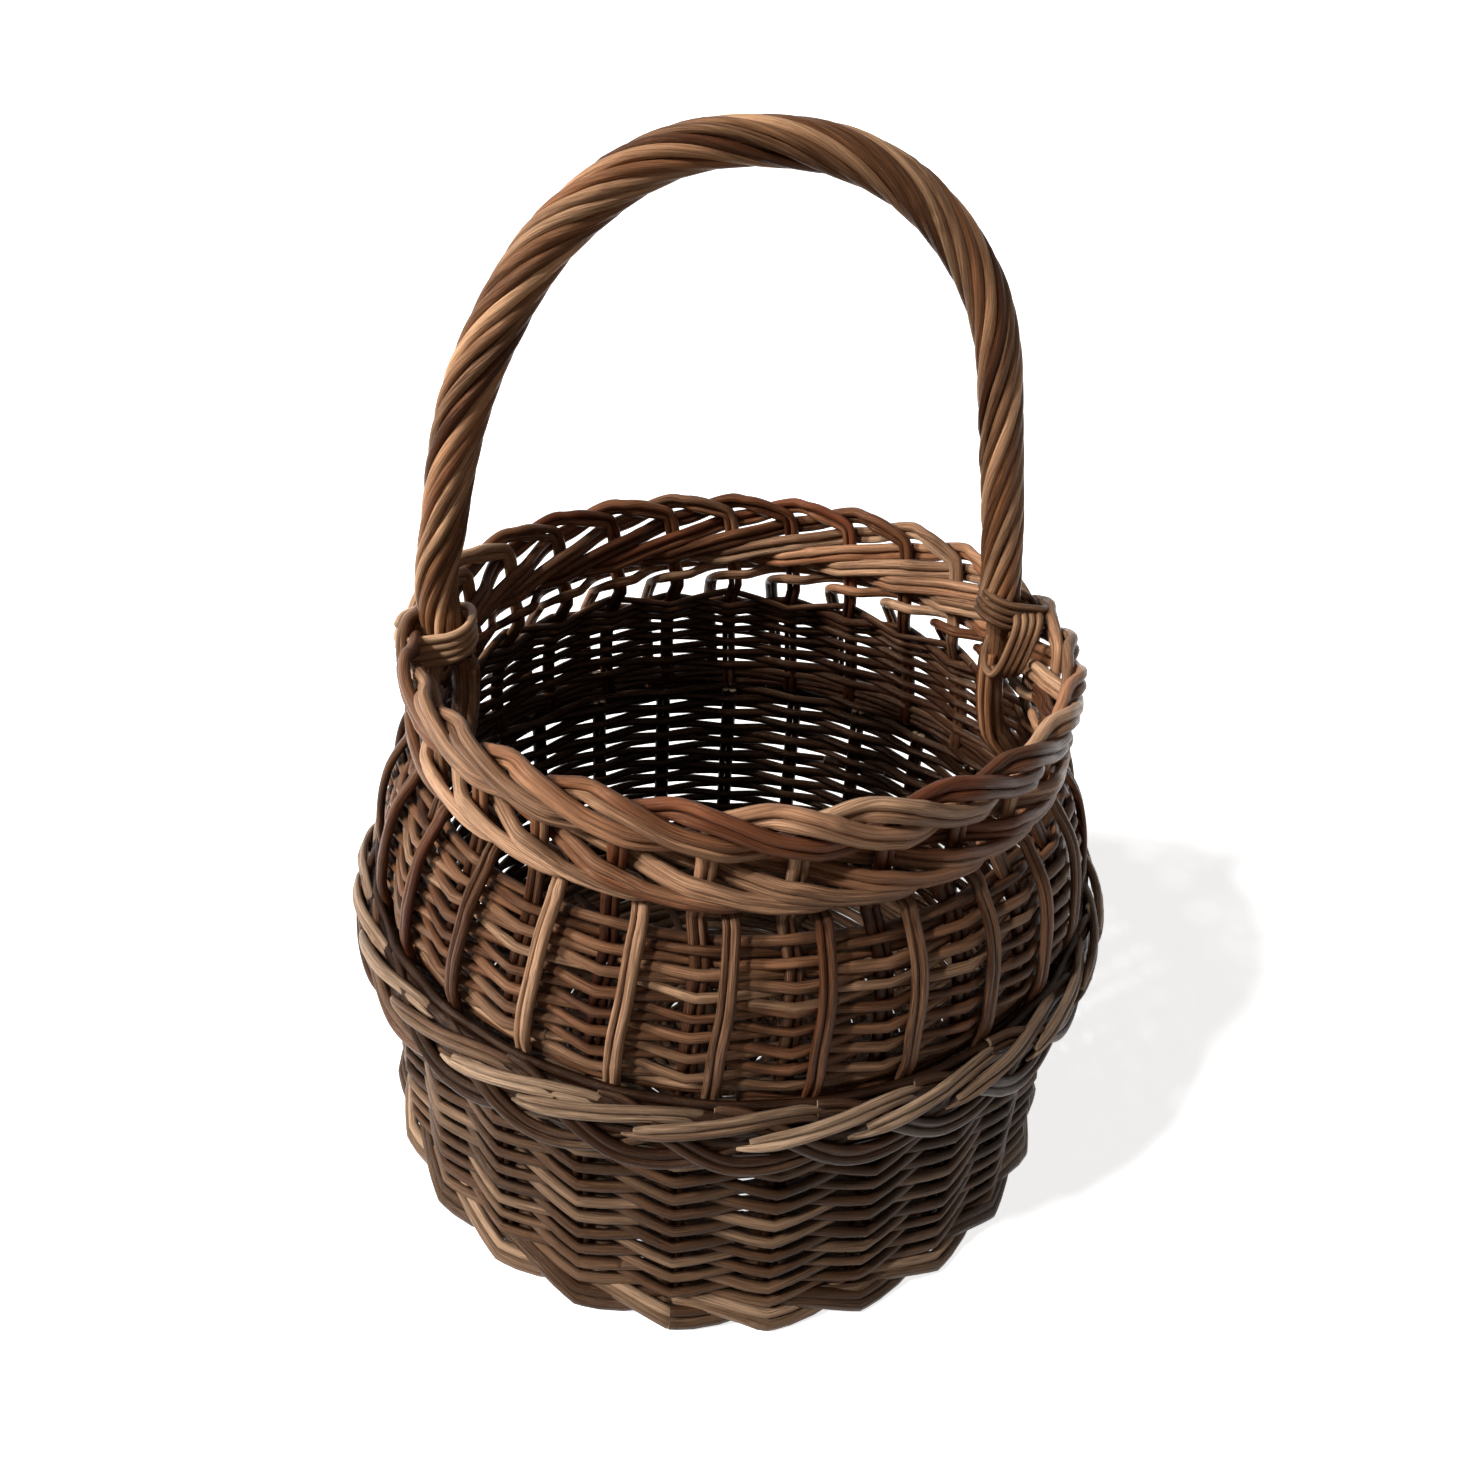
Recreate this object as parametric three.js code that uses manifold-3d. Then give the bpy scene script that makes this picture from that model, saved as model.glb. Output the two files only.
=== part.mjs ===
// Round willow basket with an open neck, a waist band and a fixed roped bow handle.
// Millimetres, +Z up, the front of the basket faces -Y. Angles run counter-clockwise seen from above,
// starting at the front.
import * as THREE from 'three';
import { mergeVertices } from 'three/addons/utils/BufferGeometryUtils.js';
import Module from 'manifold-3d';

const wasm = await Module();
wasm.setup();
const { Manifold, Mesh: SolidMesh } = wasm;

// Driving sizes
const stakeCount = 27;
const firstStakeAngle = THREE.MathUtils.degToRad(-3.1);
const fitGap = 0.3;
const bodyRadius = 142;
const weaveTop = 165;
const neckHeight = 56;

// Wall
const baseThickness = 8;
const waistSplit = 0.697 * weaveTop;
const stakeInset = 4.5;
const ridgeDepth = 3.4;

// The two weaves: stakes, angle of the first ridge, weaver, pitch of the rows and depth of the wall
const lowerStakeCount = 25;
const lowerFirstAngle = THREE.MathUtils.degToRad(-5);
const lowerRod = 4;
const lowerPitch = 4.75;
const lowerDepth = 11.2;
const lowerFirstRow = 10.6;
const lowerDip = 2.8;
const upperRod = 3.2;
const upperPitch = 3.55;
const upperDepth = 9.6;
const upperFirstRow = 128.4;
const upperDip = 1.3;
const upperRecess = 3.9;
const rodFaceShare = 0.3;
const rowMargin = 1.2;
const dipRows = 2;

// Outer profile of the woven wall at its ridges: shares of the weave's height and of the body's radius
const outlineShares = [
  { rise: 0, reach: 1 },
  { rise: 0.364, reach: 0.9944 },
  { rise: 0.697, reach: 0.9887 },
  { rise: 0.77, reach: 0.9859 },
  { rise: 0.848, reach: 0.9704 },
  { rise: 0.909, reach: 0.9472 },
  { rise: 0.952, reach: 0.919 },
  { rise: 1, reach: 0.8662 },
];
const wallOutline = outlineShares.map((point) => {
  return { height: point.rise * weaveTop, radius: point.reach * bodyRadius };
});

// Waist band
const bandHeight = 24;
const bandRise = 9;
const bandDepth = 8.5;
const bandClearance = 1;
const bandCorner = 3.5;
const bandBottom = waistSplit + bandRise - bandHeight;
const bandInnerRadius = wallRadius(bandBottom) + bandClearance;
const bandOuterRadius = bandInnerRadius + bandDepth;
const bandSegments = 60;

// Base
const baseRimWidth = 13;
const baseCentreRadius = 24;
const baseLift = 2;
const stickWidth = 7;
const stickCount = 8;
const stickDepth = 4;
const stickInset = 9;

// Stake pairs: two rods side by side, drawn as one band
const stakeRadius = wallRadius(weaveTop) - stakeInset;
const stakeArc = (2 * Math.PI * stakeRadius) / stakeCount;
const pairWidthShare = 0.2176;
const pairFlatShare = 0.6;
const pairWidth = pairWidthShare * stakeArc;
const pairThickness = pairFlatShare * pairWidth;
const layerClearance = 0.8;
const layerStep = pairThickness + layerClearance;
const pairStations = 38;
const probeShare = 0.25;

// Handle
// Sideways lean of the arch: share of its half turn, and share of the body's radius
const archShiftShares = [
  { turn: 0, shift: -0.03 },
  { turn: 0.08, shift: -0.033 },
  { turn: 0.17, shift: -0.032 },
  { turn: 0.23, shift: -0.019 },
  { turn: 0.36, shift: 0 },
  { turn: 0.5, shift: 0 },
  { turn: 0.68, shift: 0.01 },
  { turn: 0.76, shift: 0.008 },
  { turn: 0.84, shift: -0.02 },
  { turn: 0.89, shift: -0.026 },
  { turn: 0.93, shift: -0.014 },
  { turn: 0.965, shift: -0.002 },
  { turn: 1, shift: 0 },
];
const leftFootStake = -6;
const rightFootStake = 8;
const footLift = 40;
const archRise = 175.6;
const archPower = 2.3;
const archStations = 28;
const ropingRadius = 8.5;
const ropingSides = 10;
const ropingLift = 2;
const handleClearance = 1;
const coreRadius = 4.6;
const coreSides = 6;
const coreTuck = 25;
const legSteps = 5;
const archBase = weaveTop + footLift;
const ropingEnd = archBase + ropingLift;
const coreTuckEnd = weaveTop - coreTuck;
const footRadius = stakeRadius - layerStep - pairThickness / 2 - handleClearance - ropingRadius;

// Lashings at the two feet of the handle
const lashingRod = 2.4;
const lashingPitch = 3.3;
const lashingLoops = 4;
const loopSteps = 20;
const lashingSides = 5;
const lashingCorner = 3;
const lashingOuterDrop = 2.4;
const lashingInnerDrop = 5;
const outerDropPower = 4;
const innerDropPower = 2;
const lashingLift = 3.6;
const lashingBase = weaveTop + neckHeight + lashingLift;
const archLeanRoom = 1.3;

// Willow colours
const browns = {
  body: 0x6b4a2f,
  neck: 0x7c5837,
  band: 0x80664a,
  base: 0x573c28,
  handle: 0x755239,
  tie: 0x7d5f42,
};
const willowRoughness = 0.55;

const mergeTolerance = 1e-4;
const turnStep = (2 * Math.PI) / stakeCount;
const group = new THREE.Group();

// Helpers

function around(angle, radius, height) {
  return new THREE.Vector3(radius * Math.sin(angle), -radius * Math.cos(angle), height);
}

function signedVolume(points, faces) {
  let sum = 0;
  const cross = new THREE.Vector3();
  for (let f = 0; f < faces.length; f += 3) {
    const [a, b, c] = [points[faces[f]], points[faces[f + 1]], points[faces[f + 2]]];
    sum += a.dot(cross.crossVectors(b, c));
  }
  return sum;
}

// A closed skin that faces out
function closedSkin(points, faces) {
  if (signedVolume(points, faces) < 0) faces.reverse();
  const geometry = new THREE.BufferGeometry();
  geometry.setAttribute('position', new THREE.Float32BufferAttribute(points.flatMap((p) => p.toArray()), 3));
  geometry.setIndex(faces);
  geometry.computeVertexNormals();
  return geometry;
}

// Joins rows of points, each a closed ring, into one closed skin.
function skin(rows, looped) {
  const ring = rows[0].length;
  const points = rows.flat();
  const faces = [];
  const spans = looped ? rows.length : rows.length - 1;
  for (let i = 0; i < spans; i += 1) {
    const next = (i + 1) % rows.length;
    for (let j = 0; j < ring; j += 1) {
      const side = (j + 1) % ring;
      const [a, b, c, d] = [i * ring + j, i * ring + side, next * ring + side, next * ring + j];
      faces.push(a, b, c, a, c, d);
    }
  }
  if (!looped) {
    const last = (rows.length - 1) * ring;
    for (let j = 1; j < ring - 1; j += 1) {
      faces.push(0, j + 1, j, last, last + j, last + j + 1);
    }
  }
  return closedSkin(points, faces);
}

function addMesh(name, geometry, colour) {
  const material = new THREE.MeshStandardMaterial({ color: colour, roughness: willowRoughness, metalness: 0 });
  const mesh = new THREE.Mesh(geometry, material);
  mesh.name = name;
  group.add(mesh);
  return mesh;
}

function toSolid(geometry) {
  const places = new THREE.BufferGeometry();
  places.setAttribute('position', geometry.getAttribute('position'));
  places.setIndex(geometry.index);
  const merged = mergeVertices(places, mergeTolerance);
  const vertProperties = new Float32Array(merged.attributes.position.array);
  const triVerts = new Uint32Array(merged.index.array);
  return new Manifold(new SolidMesh({ numProp: 3, vertProperties, triVerts }));
}

function toGeometry(manifold) {
  const solid = manifold.getMesh();
  const geometry = new THREE.BufferGeometry();
  geometry.setAttribute('position', new THREE.Float32BufferAttribute(solid.vertProperties, solid.numProp));
  geometry.setIndex([...solid.triVerts]);
  geometry.computeVertexNormals();
  return geometry;
}

// Radius of the wall's ridges at a height, straight between the outline's points
function wallRadius(height) {
  const last = wallOutline.length - 1;
  if (height >= wallOutline[last].height) return wallOutline[last].radius;
  const upper = wallOutline.findIndex((point) => point.height > height);
  const [a, b] = [wallOutline[upper - 1], wallOutline[upper]];
  const share = (height - a.height) / (b.height - a.height);
  return THREE.MathUtils.lerp(a.radius, b.radius, share);
}

// The upper stakes lean a little, so that the ridges drift round as the wall rises.
const leanShare = 0.11;

function leanAt(height) {
  return (leanShare * turnStep * (height - weaveTop)) / neckHeight;
}

// Woven wall

const outlineRuns = [0];
for (let k = 1; k < wallOutline.length; k += 1) {
  const [a, b] = [wallOutline[k - 1], wallOutline[k]];
  outlineRuns.push(outlineRuns[k - 1] + Math.hypot(b.height - a.height, b.radius - a.radius));
}

// Height at a length along the outline, and the other way round
function interpolate(value, from, to) {
  const upper = Math.min(from.length - 1, Math.max(1, from.findIndex((step) => step > value)));
  const share = (value - from[upper - 1]) / (from[upper] - from[upper - 1]);
  return THREE.MathUtils.lerp(to[upper - 1], to[upper], share);
}

const outlineHeights = wallOutline.map((point) => point.height);
const heightAtRun = (run) => interpolate(run, outlineRuns, outlineHeights);
const runAtHeight = (height) => interpolate(height, outlineHeights, outlineRuns);

// Joins two lines of points that run up the wall, each point with the level that it belongs to.
function zip(left, right, turned, faces) {
  let [i, j] = [0, 0];
  while (i < left.length - 1 || j < right.length - 1) {
    const leftLevel = i < left.length - 1 ? left[i + 1].level : Infinity;
    const rightLevel = j < right.length - 1 ? right[j + 1].level : Infinity;
    const onLeft = j === right.length - 1 || leftLevel < rightLevel;
    const face = [left[i].index, right[j].index, onLeft ? left[i + 1].index : right[j + 1].index];
    faces.push(...(turned ? face.reverse() : face));
    if (onLeft) i += 1;
    else j += 1;
  }
}

// The level lines of one weave, outside and inside, at every stake and halfway between stakes.
// Its rows climb as one spiral that goes out round one stake and in behind the next.
function weaveLines(weave, points) {
  const columns = 2 * weave.stakes;
  const firstRun = runAtHeight(weave.firstRow);
  const room = runAtHeight(weave.top) - rowMargin - firstRun;
  const rowCount = Math.floor(room / weave.pitch - rodFaceShare);
  const lines = [];
  for (let c = 0; c < columns; c += 1) {
    const [outside, inside] = [[], []];
    const put = (line, level, height, depth) => {
      const angle = weave.firstAngle + (c * Math.PI) / weave.stakes + weave.lean(height);
      points.push(around(angle, wallRadius(height) - depth, height));
      line.push({ index: points.length - 1, level });
    };
    const atStake = c % 2 === 0;
    const foot = firstRun + weave.pitch * (c / columns - rodFaceShare * 2);
    put(outside, 0, weave.bottom, weave.recess);
    put(inside, 0, weave.bottom, weave.depth - weave.valley);
    if (weave.recess > weave.valley) put(outside, foot, heightAtRun(foot), weave.recess);
    for (let row = 0; row < rowCount; row += 1) {
      const over = (row * weave.stakes + c / 2) % 2 === 0;
      const turns = row + c / columns;
      const run = firstRun + weave.pitch * turns;
      const fade = Math.min(1, turns / dipRows, (rowCount - turns) / dipRows);
      const dip = atStake ? weave.dip * fade : 0;
      const face = over ? 0 : weave.rod;
      const half = rodFaceShare * weave.pitch;
      put(outside, run - half, heightAtRun(run - dip - half), atStake ? face : weave.valley);
      put(outside, run + half, heightAtRun(run - dip + half), atStake ? face : weave.valley);
      const innerFace = atStake ? weave.depth - weave.rod + face : weave.depth - weave.valley;
      put(inside, run, heightAtRun(run + dip), innerFace);
    }
    put(outside, Infinity, weave.top, weave.valley);
    put(inside, Infinity, weave.top, weave.depth - weave.valley);
    lines.push({ outside, inside });
  }
  return lines;
}

function weaveShell(weave) {
  const points = [];
  const lines = weaveLines(weave, points);
  const faces = [];
  const first = (line) => line[0].index;
  const last = (line) => line[line.length - 1].index;
  lines.forEach((here, c) => {
    const next = lines[(c + 1) % lines.length];
    zip(here.outside, next.outside, false, faces);
    zip(here.inside, next.inside, true, faces);
    faces.push(first(here.inside), first(next.inside), first(next.outside));
    faces.push(first(here.inside), first(next.outside), first(here.outside));
    faces.push(last(here.outside), last(next.outside), last(next.inside));
    faces.push(last(here.outside), last(next.inside), last(here.inside));
  });
  return closedSkin(points, faces);
}

function addWalls() {
  const lower = {
    stakes: lowerStakeCount,
    firstAngle: lowerFirstAngle,
    lean: () => 0,
    rod: lowerRod,
    pitch: lowerPitch,
    depth: lowerDepth,
    valley: (lowerDepth - lowerRod) / 2,
    recess: (lowerDepth - lowerRod) / 2,
    dip: lowerDip,
    firstRow: lowerFirstRow,
    bottom: baseThickness + fitGap,
    top: waistSplit - fitGap / 2,
  };
  const upper = {
    stakes: stakeCount,
    firstAngle: firstStakeAngle,
    lean: leanAt,
    rod: upperRod,
    pitch: upperPitch,
    depth: upperDepth,
    valley: (upperDepth - upperRod) / 2,
    recess: upperRecess,
    dip: upperDip,
    firstRow: upperFirstRow,
    bottom: waistSplit + fitGap / 2,
    top: weaveTop,
  };
  addMesh('lower_side_weave', weaveShell(lower), browns.body);
  addMesh('upper_side_weave', weaveShell(upper), browns.body);
}

// Base

// A flat round plate between two levels
function disc(radius, bottom, top, sides) {
  const plate = new THREE.CylinderGeometry(radius, radius, top - bottom, sides);
  plate.rotateX(Math.PI / 2);
  plate.translate(0, 0, (top + bottom) / 2);
  return toSolid(plate);
}

function addBase() {
  const rimRows = [];
  const rimStep = Math.PI / lowerStakeCount;
  for (let k = 0; k < 2 * lowerStakeCount; k += 1) {
    const depth = k % 2 === 0 ? 0 : ridgeDepth;
    const angle = lowerFirstAngle + k * rimStep;
    const outer = wallRadius(0) - depth;
    const inner = wallRadius(0) - ridgeDepth - baseRimWidth;
    rimRows.push([
      around(angle, outer, 0),
      around(angle, outer, baseThickness),
      around(angle, inner, baseThickness),
      around(angle, inner, 0),
    ]);
  }
  addMesh('base_foot_wale', skin(rimRows, true), browns.base);

  const floorRadius = (wallRadius(0) - ridgeDepth - baseRimWidth) * Math.cos(rimStep / 2) - fitGap;
  const floor = disc(floorRadius, baseLift, baseThickness, 2 * lowerStakeCount);
  const star = (width, depth) => {
    const bars = [];
    for (let k = 0; k < stickCount; k += 1) {
      const length = 2 * (floorRadius - stickInset + depth - stickDepth);
      const bar = new THREE.BoxGeometry(length, width, depth);
      bar.rotateZ((Math.PI * k) / stickCount);
      bar.translate(0, 0, baseThickness - stickDepth + depth / 2);
      bars.push(toSolid(bar));
    }
    return Manifold.union(bars);
  };
  const sticks = star(stickWidth, stickDepth);
  const slot = star(stickWidth + 2 * fitGap, stickDepth + baseLift).translate([0, 0, -fitGap]);
  const hubLevel = baseThickness - stickDepth;
  const hub = disc(baseCentreRadius, hubLevel, baseThickness, stakeCount);
  const hubSlotRadius = baseCentreRadius + 2 * fitGap;
  const hubSlot = disc(hubSlotRadius, hubLevel - fitGap, baseThickness + baseLift, stakeCount);
  const cross = Manifold.union(sticks, hub);
  const crossSlot = Manifold.union(slot, hubSlot);
  addMesh('base_weave', toGeometry(floor.subtract(crossSlot)), browns.base);
  addMesh('base_stick_cross', toGeometry(cross), browns.neck);
}

// Waist band

function addBand() {
  const top = bandBottom + bandHeight;
  const section = [
    [bandInnerRadius, bandBottom + bandCorner],
    [bandInnerRadius + bandCorner, bandBottom],
    [bandOuterRadius - bandCorner, bandBottom],
    [bandOuterRadius, bandBottom + bandCorner],
    [bandOuterRadius, top - bandCorner],
    [bandOuterRadius - bandCorner, top],
    [bandInnerRadius + bandCorner / 2, top],
    [bandInnerRadius, top - bandCorner / 2],
  ];
  const rows = [];
  for (let k = 0; k < bandSegments; k += 1) {
    const angle = (2 * Math.PI * k) / bandSegments;
    rows.push(section.map(([radius, height]) => around(angle, radius, height)));
  }
  addMesh('waist_band', skin(rows, true), browns.band);
}

// Stake pairs

// The route of one pair, which every other pair repeats one stake further round.
// turn: stakes passed; rise: share of the neck's height above the weave; layer: 1 outside the stakes,
// -1 inside them; roll: share of a right angle by which the pair lies over the rim.
const routeShares = [
  { turn: -0.2, rise: 0.016, layer: 0, roll: 0 },
  { turn: -0.12, rise: 0.25, layer: 0, roll: 0 },
  { turn: -0.03, rise: 0.52, layer: 0, roll: 0 },
  { turn: 0, rise: 0.7, layer: 0, roll: 0 },
  { turn: 0.03, rise: 0.8, layer: 0, roll: 0 },
  { turn: 0.1, rise: 0.87, layer: 0, roll: 0 },
  { turn: 0.3, rise: 0.903, layer: 0.02, roll: 0.02 },
  { turn: 0.6, rise: 0.941, layer: 0.1, roll: 0.1 },
  { turn: 0.8, rise: 0.95, layer: 0.56, roll: 0.35 },
  { turn: 1, rise: 0.946, layer: 0.98, roll: 0.2 },
  { turn: 1.3, rise: 0.898, layer: 1.12, roll: 0.05 },
  { turn: 1.65, rise: 0.82, layer: 1.1, roll: 0 },
  { turn: 2, rise: 0.775, layer: 1.05, roll: 0 },
  { turn: 2.2, rise: 0.749, layer: 0.85, roll: 0 },
  { turn: 2.5, rise: 0.718, layer: 0, roll: 0 },
  { turn: 2.8, rise: 0.7, layer: -0.85, roll: 0 },
  { turn: 3, rise: 0.682, layer: -1.05, roll: 0 },
  { turn: 3.5, rise: 0.612, layer: -1.05, roll: 0 },
  { turn: 4, rise: 0.546, layer: -1.05, roll: 0 },
  { turn: 4.15, rise: 0.527, layer: -0.88, roll: 0 },
  { turn: 4.5, rise: 0.502, layer: 0, roll: 0 },
  { turn: 4.8, rise: 0.49, layer: 0.88, roll: 0 },
  { turn: 5, rise: 0.476, layer: 1.05, roll: 0 },
  { turn: 5.5, rise: 0.396, layer: 1.05, roll: 0 },
  { turn: 6, rise: 0.339, layer: 1.05, roll: 0 },
  { turn: 6.3, rise: 0.3, layer: 0.8, roll: 0 },
  { turn: 6.55, rise: 0.28, layer: -0.2, roll: 0 },
  { turn: 6.73, rise: 0.27, layer: -0.95, roll: 0 },
  { turn: 7, rise: 0.255, layer: -1.02, roll: 0 },
  { turn: 7.14, rise: 0.23, layer: -0.9, roll: 0 },
  { turn: 7.24, rise: 0.17, layer: -0.35, roll: 0 },
  { turn: 7.28, rise: 0.1, layer: 0.45, roll: 0 },
  { turn: 7.3, rise: 0.03, layer: 1.3, roll: 0 },
  { turn: 7.3, rise: -0.1, layer: 1.5, roll: 0 },
  { turn: 7.28, rise: -0.3, layer: 1.5, roll: 0 },
  { turn: 7.22, rise: -0.5, layer: 1.48, roll: 0 },
  { turn: 7.2, rise: -0.63, layer: 1.48, roll: 0 },
  { turn: 7.19, rise: -0.69, layer: 1.12, roll: 0 },
  { turn: 7.18, rise: -0.76, layer: 0.66, roll: 0 },
  { turn: 7.17, rise: -0.85, layer: 0.6, roll: 0 },
];

// Radius of the stakes: plumb in the neck, in the middle of the wall below it
function stakeLine(height) {
  if (height >= weaveTop) return stakeRadius;
  return wallRadius(height) - stakeInset;
}

function pairGeometry() {
  const flat = routeShares.map((row) => {
    return new THREE.Vector3(row.turn * stakeArc, weaveTop + row.rise * neckHeight, row.layer * layerStep);
  });
  const rolls = routeShares.map((row) => new THREE.Vector3(row.roll, 0, 0));
  const curve = new THREE.CatmullRomCurve3(flat);
  const rollCurve = new THREE.CatmullRomCurve3(rolls, false, 'catmullrom');
  const place = (share) => {
    const spot = curve.getPointAt(THREE.MathUtils.clamp(share, 0, 1));
    return around(spot.x / stakeRadius, stakeLine(spot.y) + spot.z, spot.y);
  };
  const rows = [];
  const probe = probeShare / pairStations;
  for (let k = 0; k <= pairStations; k += 1) {
    const share = k / pairStations;
    const centre = place(share);
    const along = place(share + probe).sub(place(share - probe)).normalize();
    const roll = rollCurve.getPoint(curve.getUtoTmapping(share)).x * (Math.PI / 2);
    const radial = new THREE.Vector3(centre.x, centre.y, 0).normalize();
    const facing = radial.multiplyScalar(Math.cos(roll)).add(new THREE.Vector3(0, 0, Math.sin(roll)));
    const across = new THREE.Vector3().crossVectors(along, facing).normalize();
    const out = new THREE.Vector3().crossVectors(across, along).normalize();
    const corner = (a, b) => centre.clone().addScaledVector(across, (a * pairWidth) / 2)
      .addScaledVector(out, (b * pairThickness) / 2);
    rows.push([corner(-1, -1), corner(1, -1), corner(1, 1), corner(-1, 1)]);
  }
  return skin(rows, false);
}

function addStakePairs() {
  const geometry = pairGeometry();
  for (let k = 0; k < stakeCount; k += 1) {
    const mesh = addMesh(`stake_pair_${String(k + 1).padStart(2, '0')}`, geometry, browns.neck);
    mesh.rotation.z = firstStakeAngle + k * turnStep;
  }
}

// Handle

const leftFootAngle = firstStakeAngle + leftFootStake * turnStep;
const rightFootAngle = firstStakeAngle + rightFootStake * turnStep;

// The arch is a flattened half ellipse that stands on the two feet.
function archPoint(turn) {
  const left = around(leftFootAngle, footRadius, 0);
  const right = around(rightFootAngle, footRadius, 0);
  const middle = left.clone().add(right).multiplyScalar(0.5);
  const half = right.clone().sub(left).multiplyScalar(0.5);
  const reach = Math.sign(Math.cos(turn)) * Math.abs(Math.cos(turn)) ** (2 / archPower);
  const rise = Math.abs(Math.sin(turn)) ** (2 / archPower);
  const turns = archShiftShares.map((point) => point.turn);
  const shifts = archShiftShares.map((point) => point.shift);
  const shift = interpolate(turn / Math.PI, turns, shifts) * bodyRadius;
  middle.addScaledVector(half, -reach).setZ(archBase + archRise * rise);
  return middle.add(new THREE.Vector3(shift, 0, 0));
}

function tubeRows(path, radius, sides, flatSide) {
  const frames = [];
  for (let k = 0; k < path.length; k += 1) {
    const before = path[Math.max(k - 1, 0)];
    const after = path[Math.min(k + 1, path.length - 1)];
    const along = after.clone().sub(before).normalize();
    const side = new THREE.Vector3().crossVectors(along, flatSide).normalize();
    const ring = [];
    for (let j = 0; j < sides; j += 1) {
      const turn = (2 * Math.PI * j) / sides;
      ring.push(path[k].clone().addScaledVector(side, radius * Math.cos(turn))
        .addScaledVector(flatSide, radius * Math.sin(turn)));
    }
    frames.push(ring);
  }
  return frames;
}

// Radius of a leg below the roping: it leans out until it lies against the inside of the wall.
function legRadius(height) {
  const face = (level) => wallRadius(level) - upperDepth - coreRadius - handleClearance;
  if (height <= weaveTop) return face(height);
  const share = (height - weaveTop) / (archBase - weaveTop);
  return THREE.MathUtils.lerp(face(weaveTop), footRadius, THREE.MathUtils.smoothstep(share, 0, 1));
}

function addHandle() {
  const left = around(leftFootAngle, footRadius, 0);
  const right = around(rightFootAngle, footRadius, 0);
  const span = right.clone().sub(left).normalize();
  const flatSide = new THREE.Vector3(-span.y, span.x, 0);
  const arch = [];
  for (let k = 0; k <= archStations; k += 1) arch.push(archPoint((Math.PI * k) / archStations));
  const ropingArch = [
    around(leftFootAngle, footRadius, ropingEnd - lashingPitch),
    ...arch.filter((point) => point.z > ropingEnd),
    around(rightFootAngle, footRadius, ropingEnd - lashingPitch),
  ];
  const outer = tubeRows(ropingArch, ropingRadius, ropingSides, flatSide);
  const boreRadius = coreRadius + fitGap / Math.cos(Math.PI / coreSides);
  const inner = tubeRows(ropingArch, boreRadius, coreSides, flatSide);
  addMesh('handle_roping', hollowTube(outer, inner), browns.handle);

  const legs = [leftFootAngle, rightFootAngle].map((angle) => {
    const leg = [];
    for (let k = 0; k < legSteps; k += 1) {
      const height = THREE.MathUtils.lerp(coreTuckEnd, ropingEnd - 2 * lashingPitch, k / (legSteps - 1));
      leg.push(around(angle, legRadius(height), height));
    }
    return leg;
  });
  const corePath = [...legs[0], ...ropingArch, ...legs[1].reverse()];
  addMesh('handle_core', skin(tubeRows(corePath, coreRadius, coreSides, flatSide), false), browns.base);
}

// A tube with a bore: two skins, joined ring to ring at both ends by cutting one from the other.
function hollowTube(outer, inner) {
  const stretch = (rows) => {
    const reach = (end, next) => end.map((point, j) => point.clone().sub(next[j]).add(point));
    return [reach(rows[0], rows[1]), ...rows, reach(rows[rows.length - 1], rows[rows.length - 2])];
  };
  const body = toSolid(skin(outer, false));
  const bore = toSolid(skin(stretch(inner), false));
  return toGeometry(body.subtract(bore));
}

// Lashings

// Local path of a winding: an oval round the leg and the rim, that lifts where it crosses the rim.
function lashingPath(footAngle) {
  const inside = footRadius - ropingRadius - fitGap - lashingRod / 2 - archLeanRoom;
  const outside = stakeRadius + layerStep + pairThickness / 2 + 2 * fitGap + lashingRod / 2;
  const centre = (inside + outside) / 2;
  const reach = (outside - inside) / 2;
  const halfWidth = ropingRadius + 2 * fitGap + lashingRod / 2;
  const radial = around(footAngle, 1, 0);
  const sideways = new THREE.Vector3(-radial.y, radial.x, 0);
  const path = [];
  for (let k = 0; k <= lashingLoops * loopSteps; k += 1) {
    const turn = (2 * Math.PI * k) / loopSteps;
    const squared = (value) => Math.sign(value) * Math.abs(value) ** (2 / lashingCorner);
    const outward = Math.cos(turn);
    const outerDrop = lashingOuterDrop * outward ** outerDropPower;
    const innerDrop = lashingInnerDrop * outward ** innerDropPower;
    const drop = outward > 0 ? outerDrop : innerDrop;
    const height = lashingBase + (lashingPitch * k) / loopSteps - drop;
    path.push(new THREE.Vector3().addScaledVector(radial, centre + reach * squared(outward))
      .addScaledVector(sideways, halfWidth * squared(Math.sin(turn))).setZ(height));
  }
  return path;
}

// Least clear distance between points of the winding that lie more than a third of a loop apart
function leastSelfGap(path) {
  let least = Infinity;
  for (let a = 0; a < path.length; a += 1) {
    for (let b = a + Math.ceil(loopSteps / 3); b < path.length - 1; b += 1) {
      const line = new THREE.Line3(path[b], path[b + 1]);
      const near = line.closestPointToPoint(path[a], true, new THREE.Vector3());
      least = Math.min(least, near.distanceTo(path[a]) - lashingRod);
    }
  }
  return least;
}

function addLashing(name, footAngle) {
  const path = lashingPath(footAngle);
  const rows = tubeRows(path, lashingRod / 2, lashingSides, new THREE.Vector3(0, 0, 1));
  addMesh(name, skin(rows, false), browns.tie);
  console.log(`${name}: least gap to itself ${leastSelfGap(path).toFixed(2)} mm`);
}

addBase();
addWalls();
addBand();
addStakePairs();
addHandle();
addLashing('left_lashing', leftFootAngle);
addLashing('right_lashing', rightFootAngle);

export default group;
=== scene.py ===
# Round willow basket with an open plaited neck, a waist band and a roped bow handle.
# Lengths are millimetres and angles run counter-clockwise seen from above, starting at the front;
# meshes are written in metres. A share is part of a whole, from 0 to 1.
import math

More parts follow.
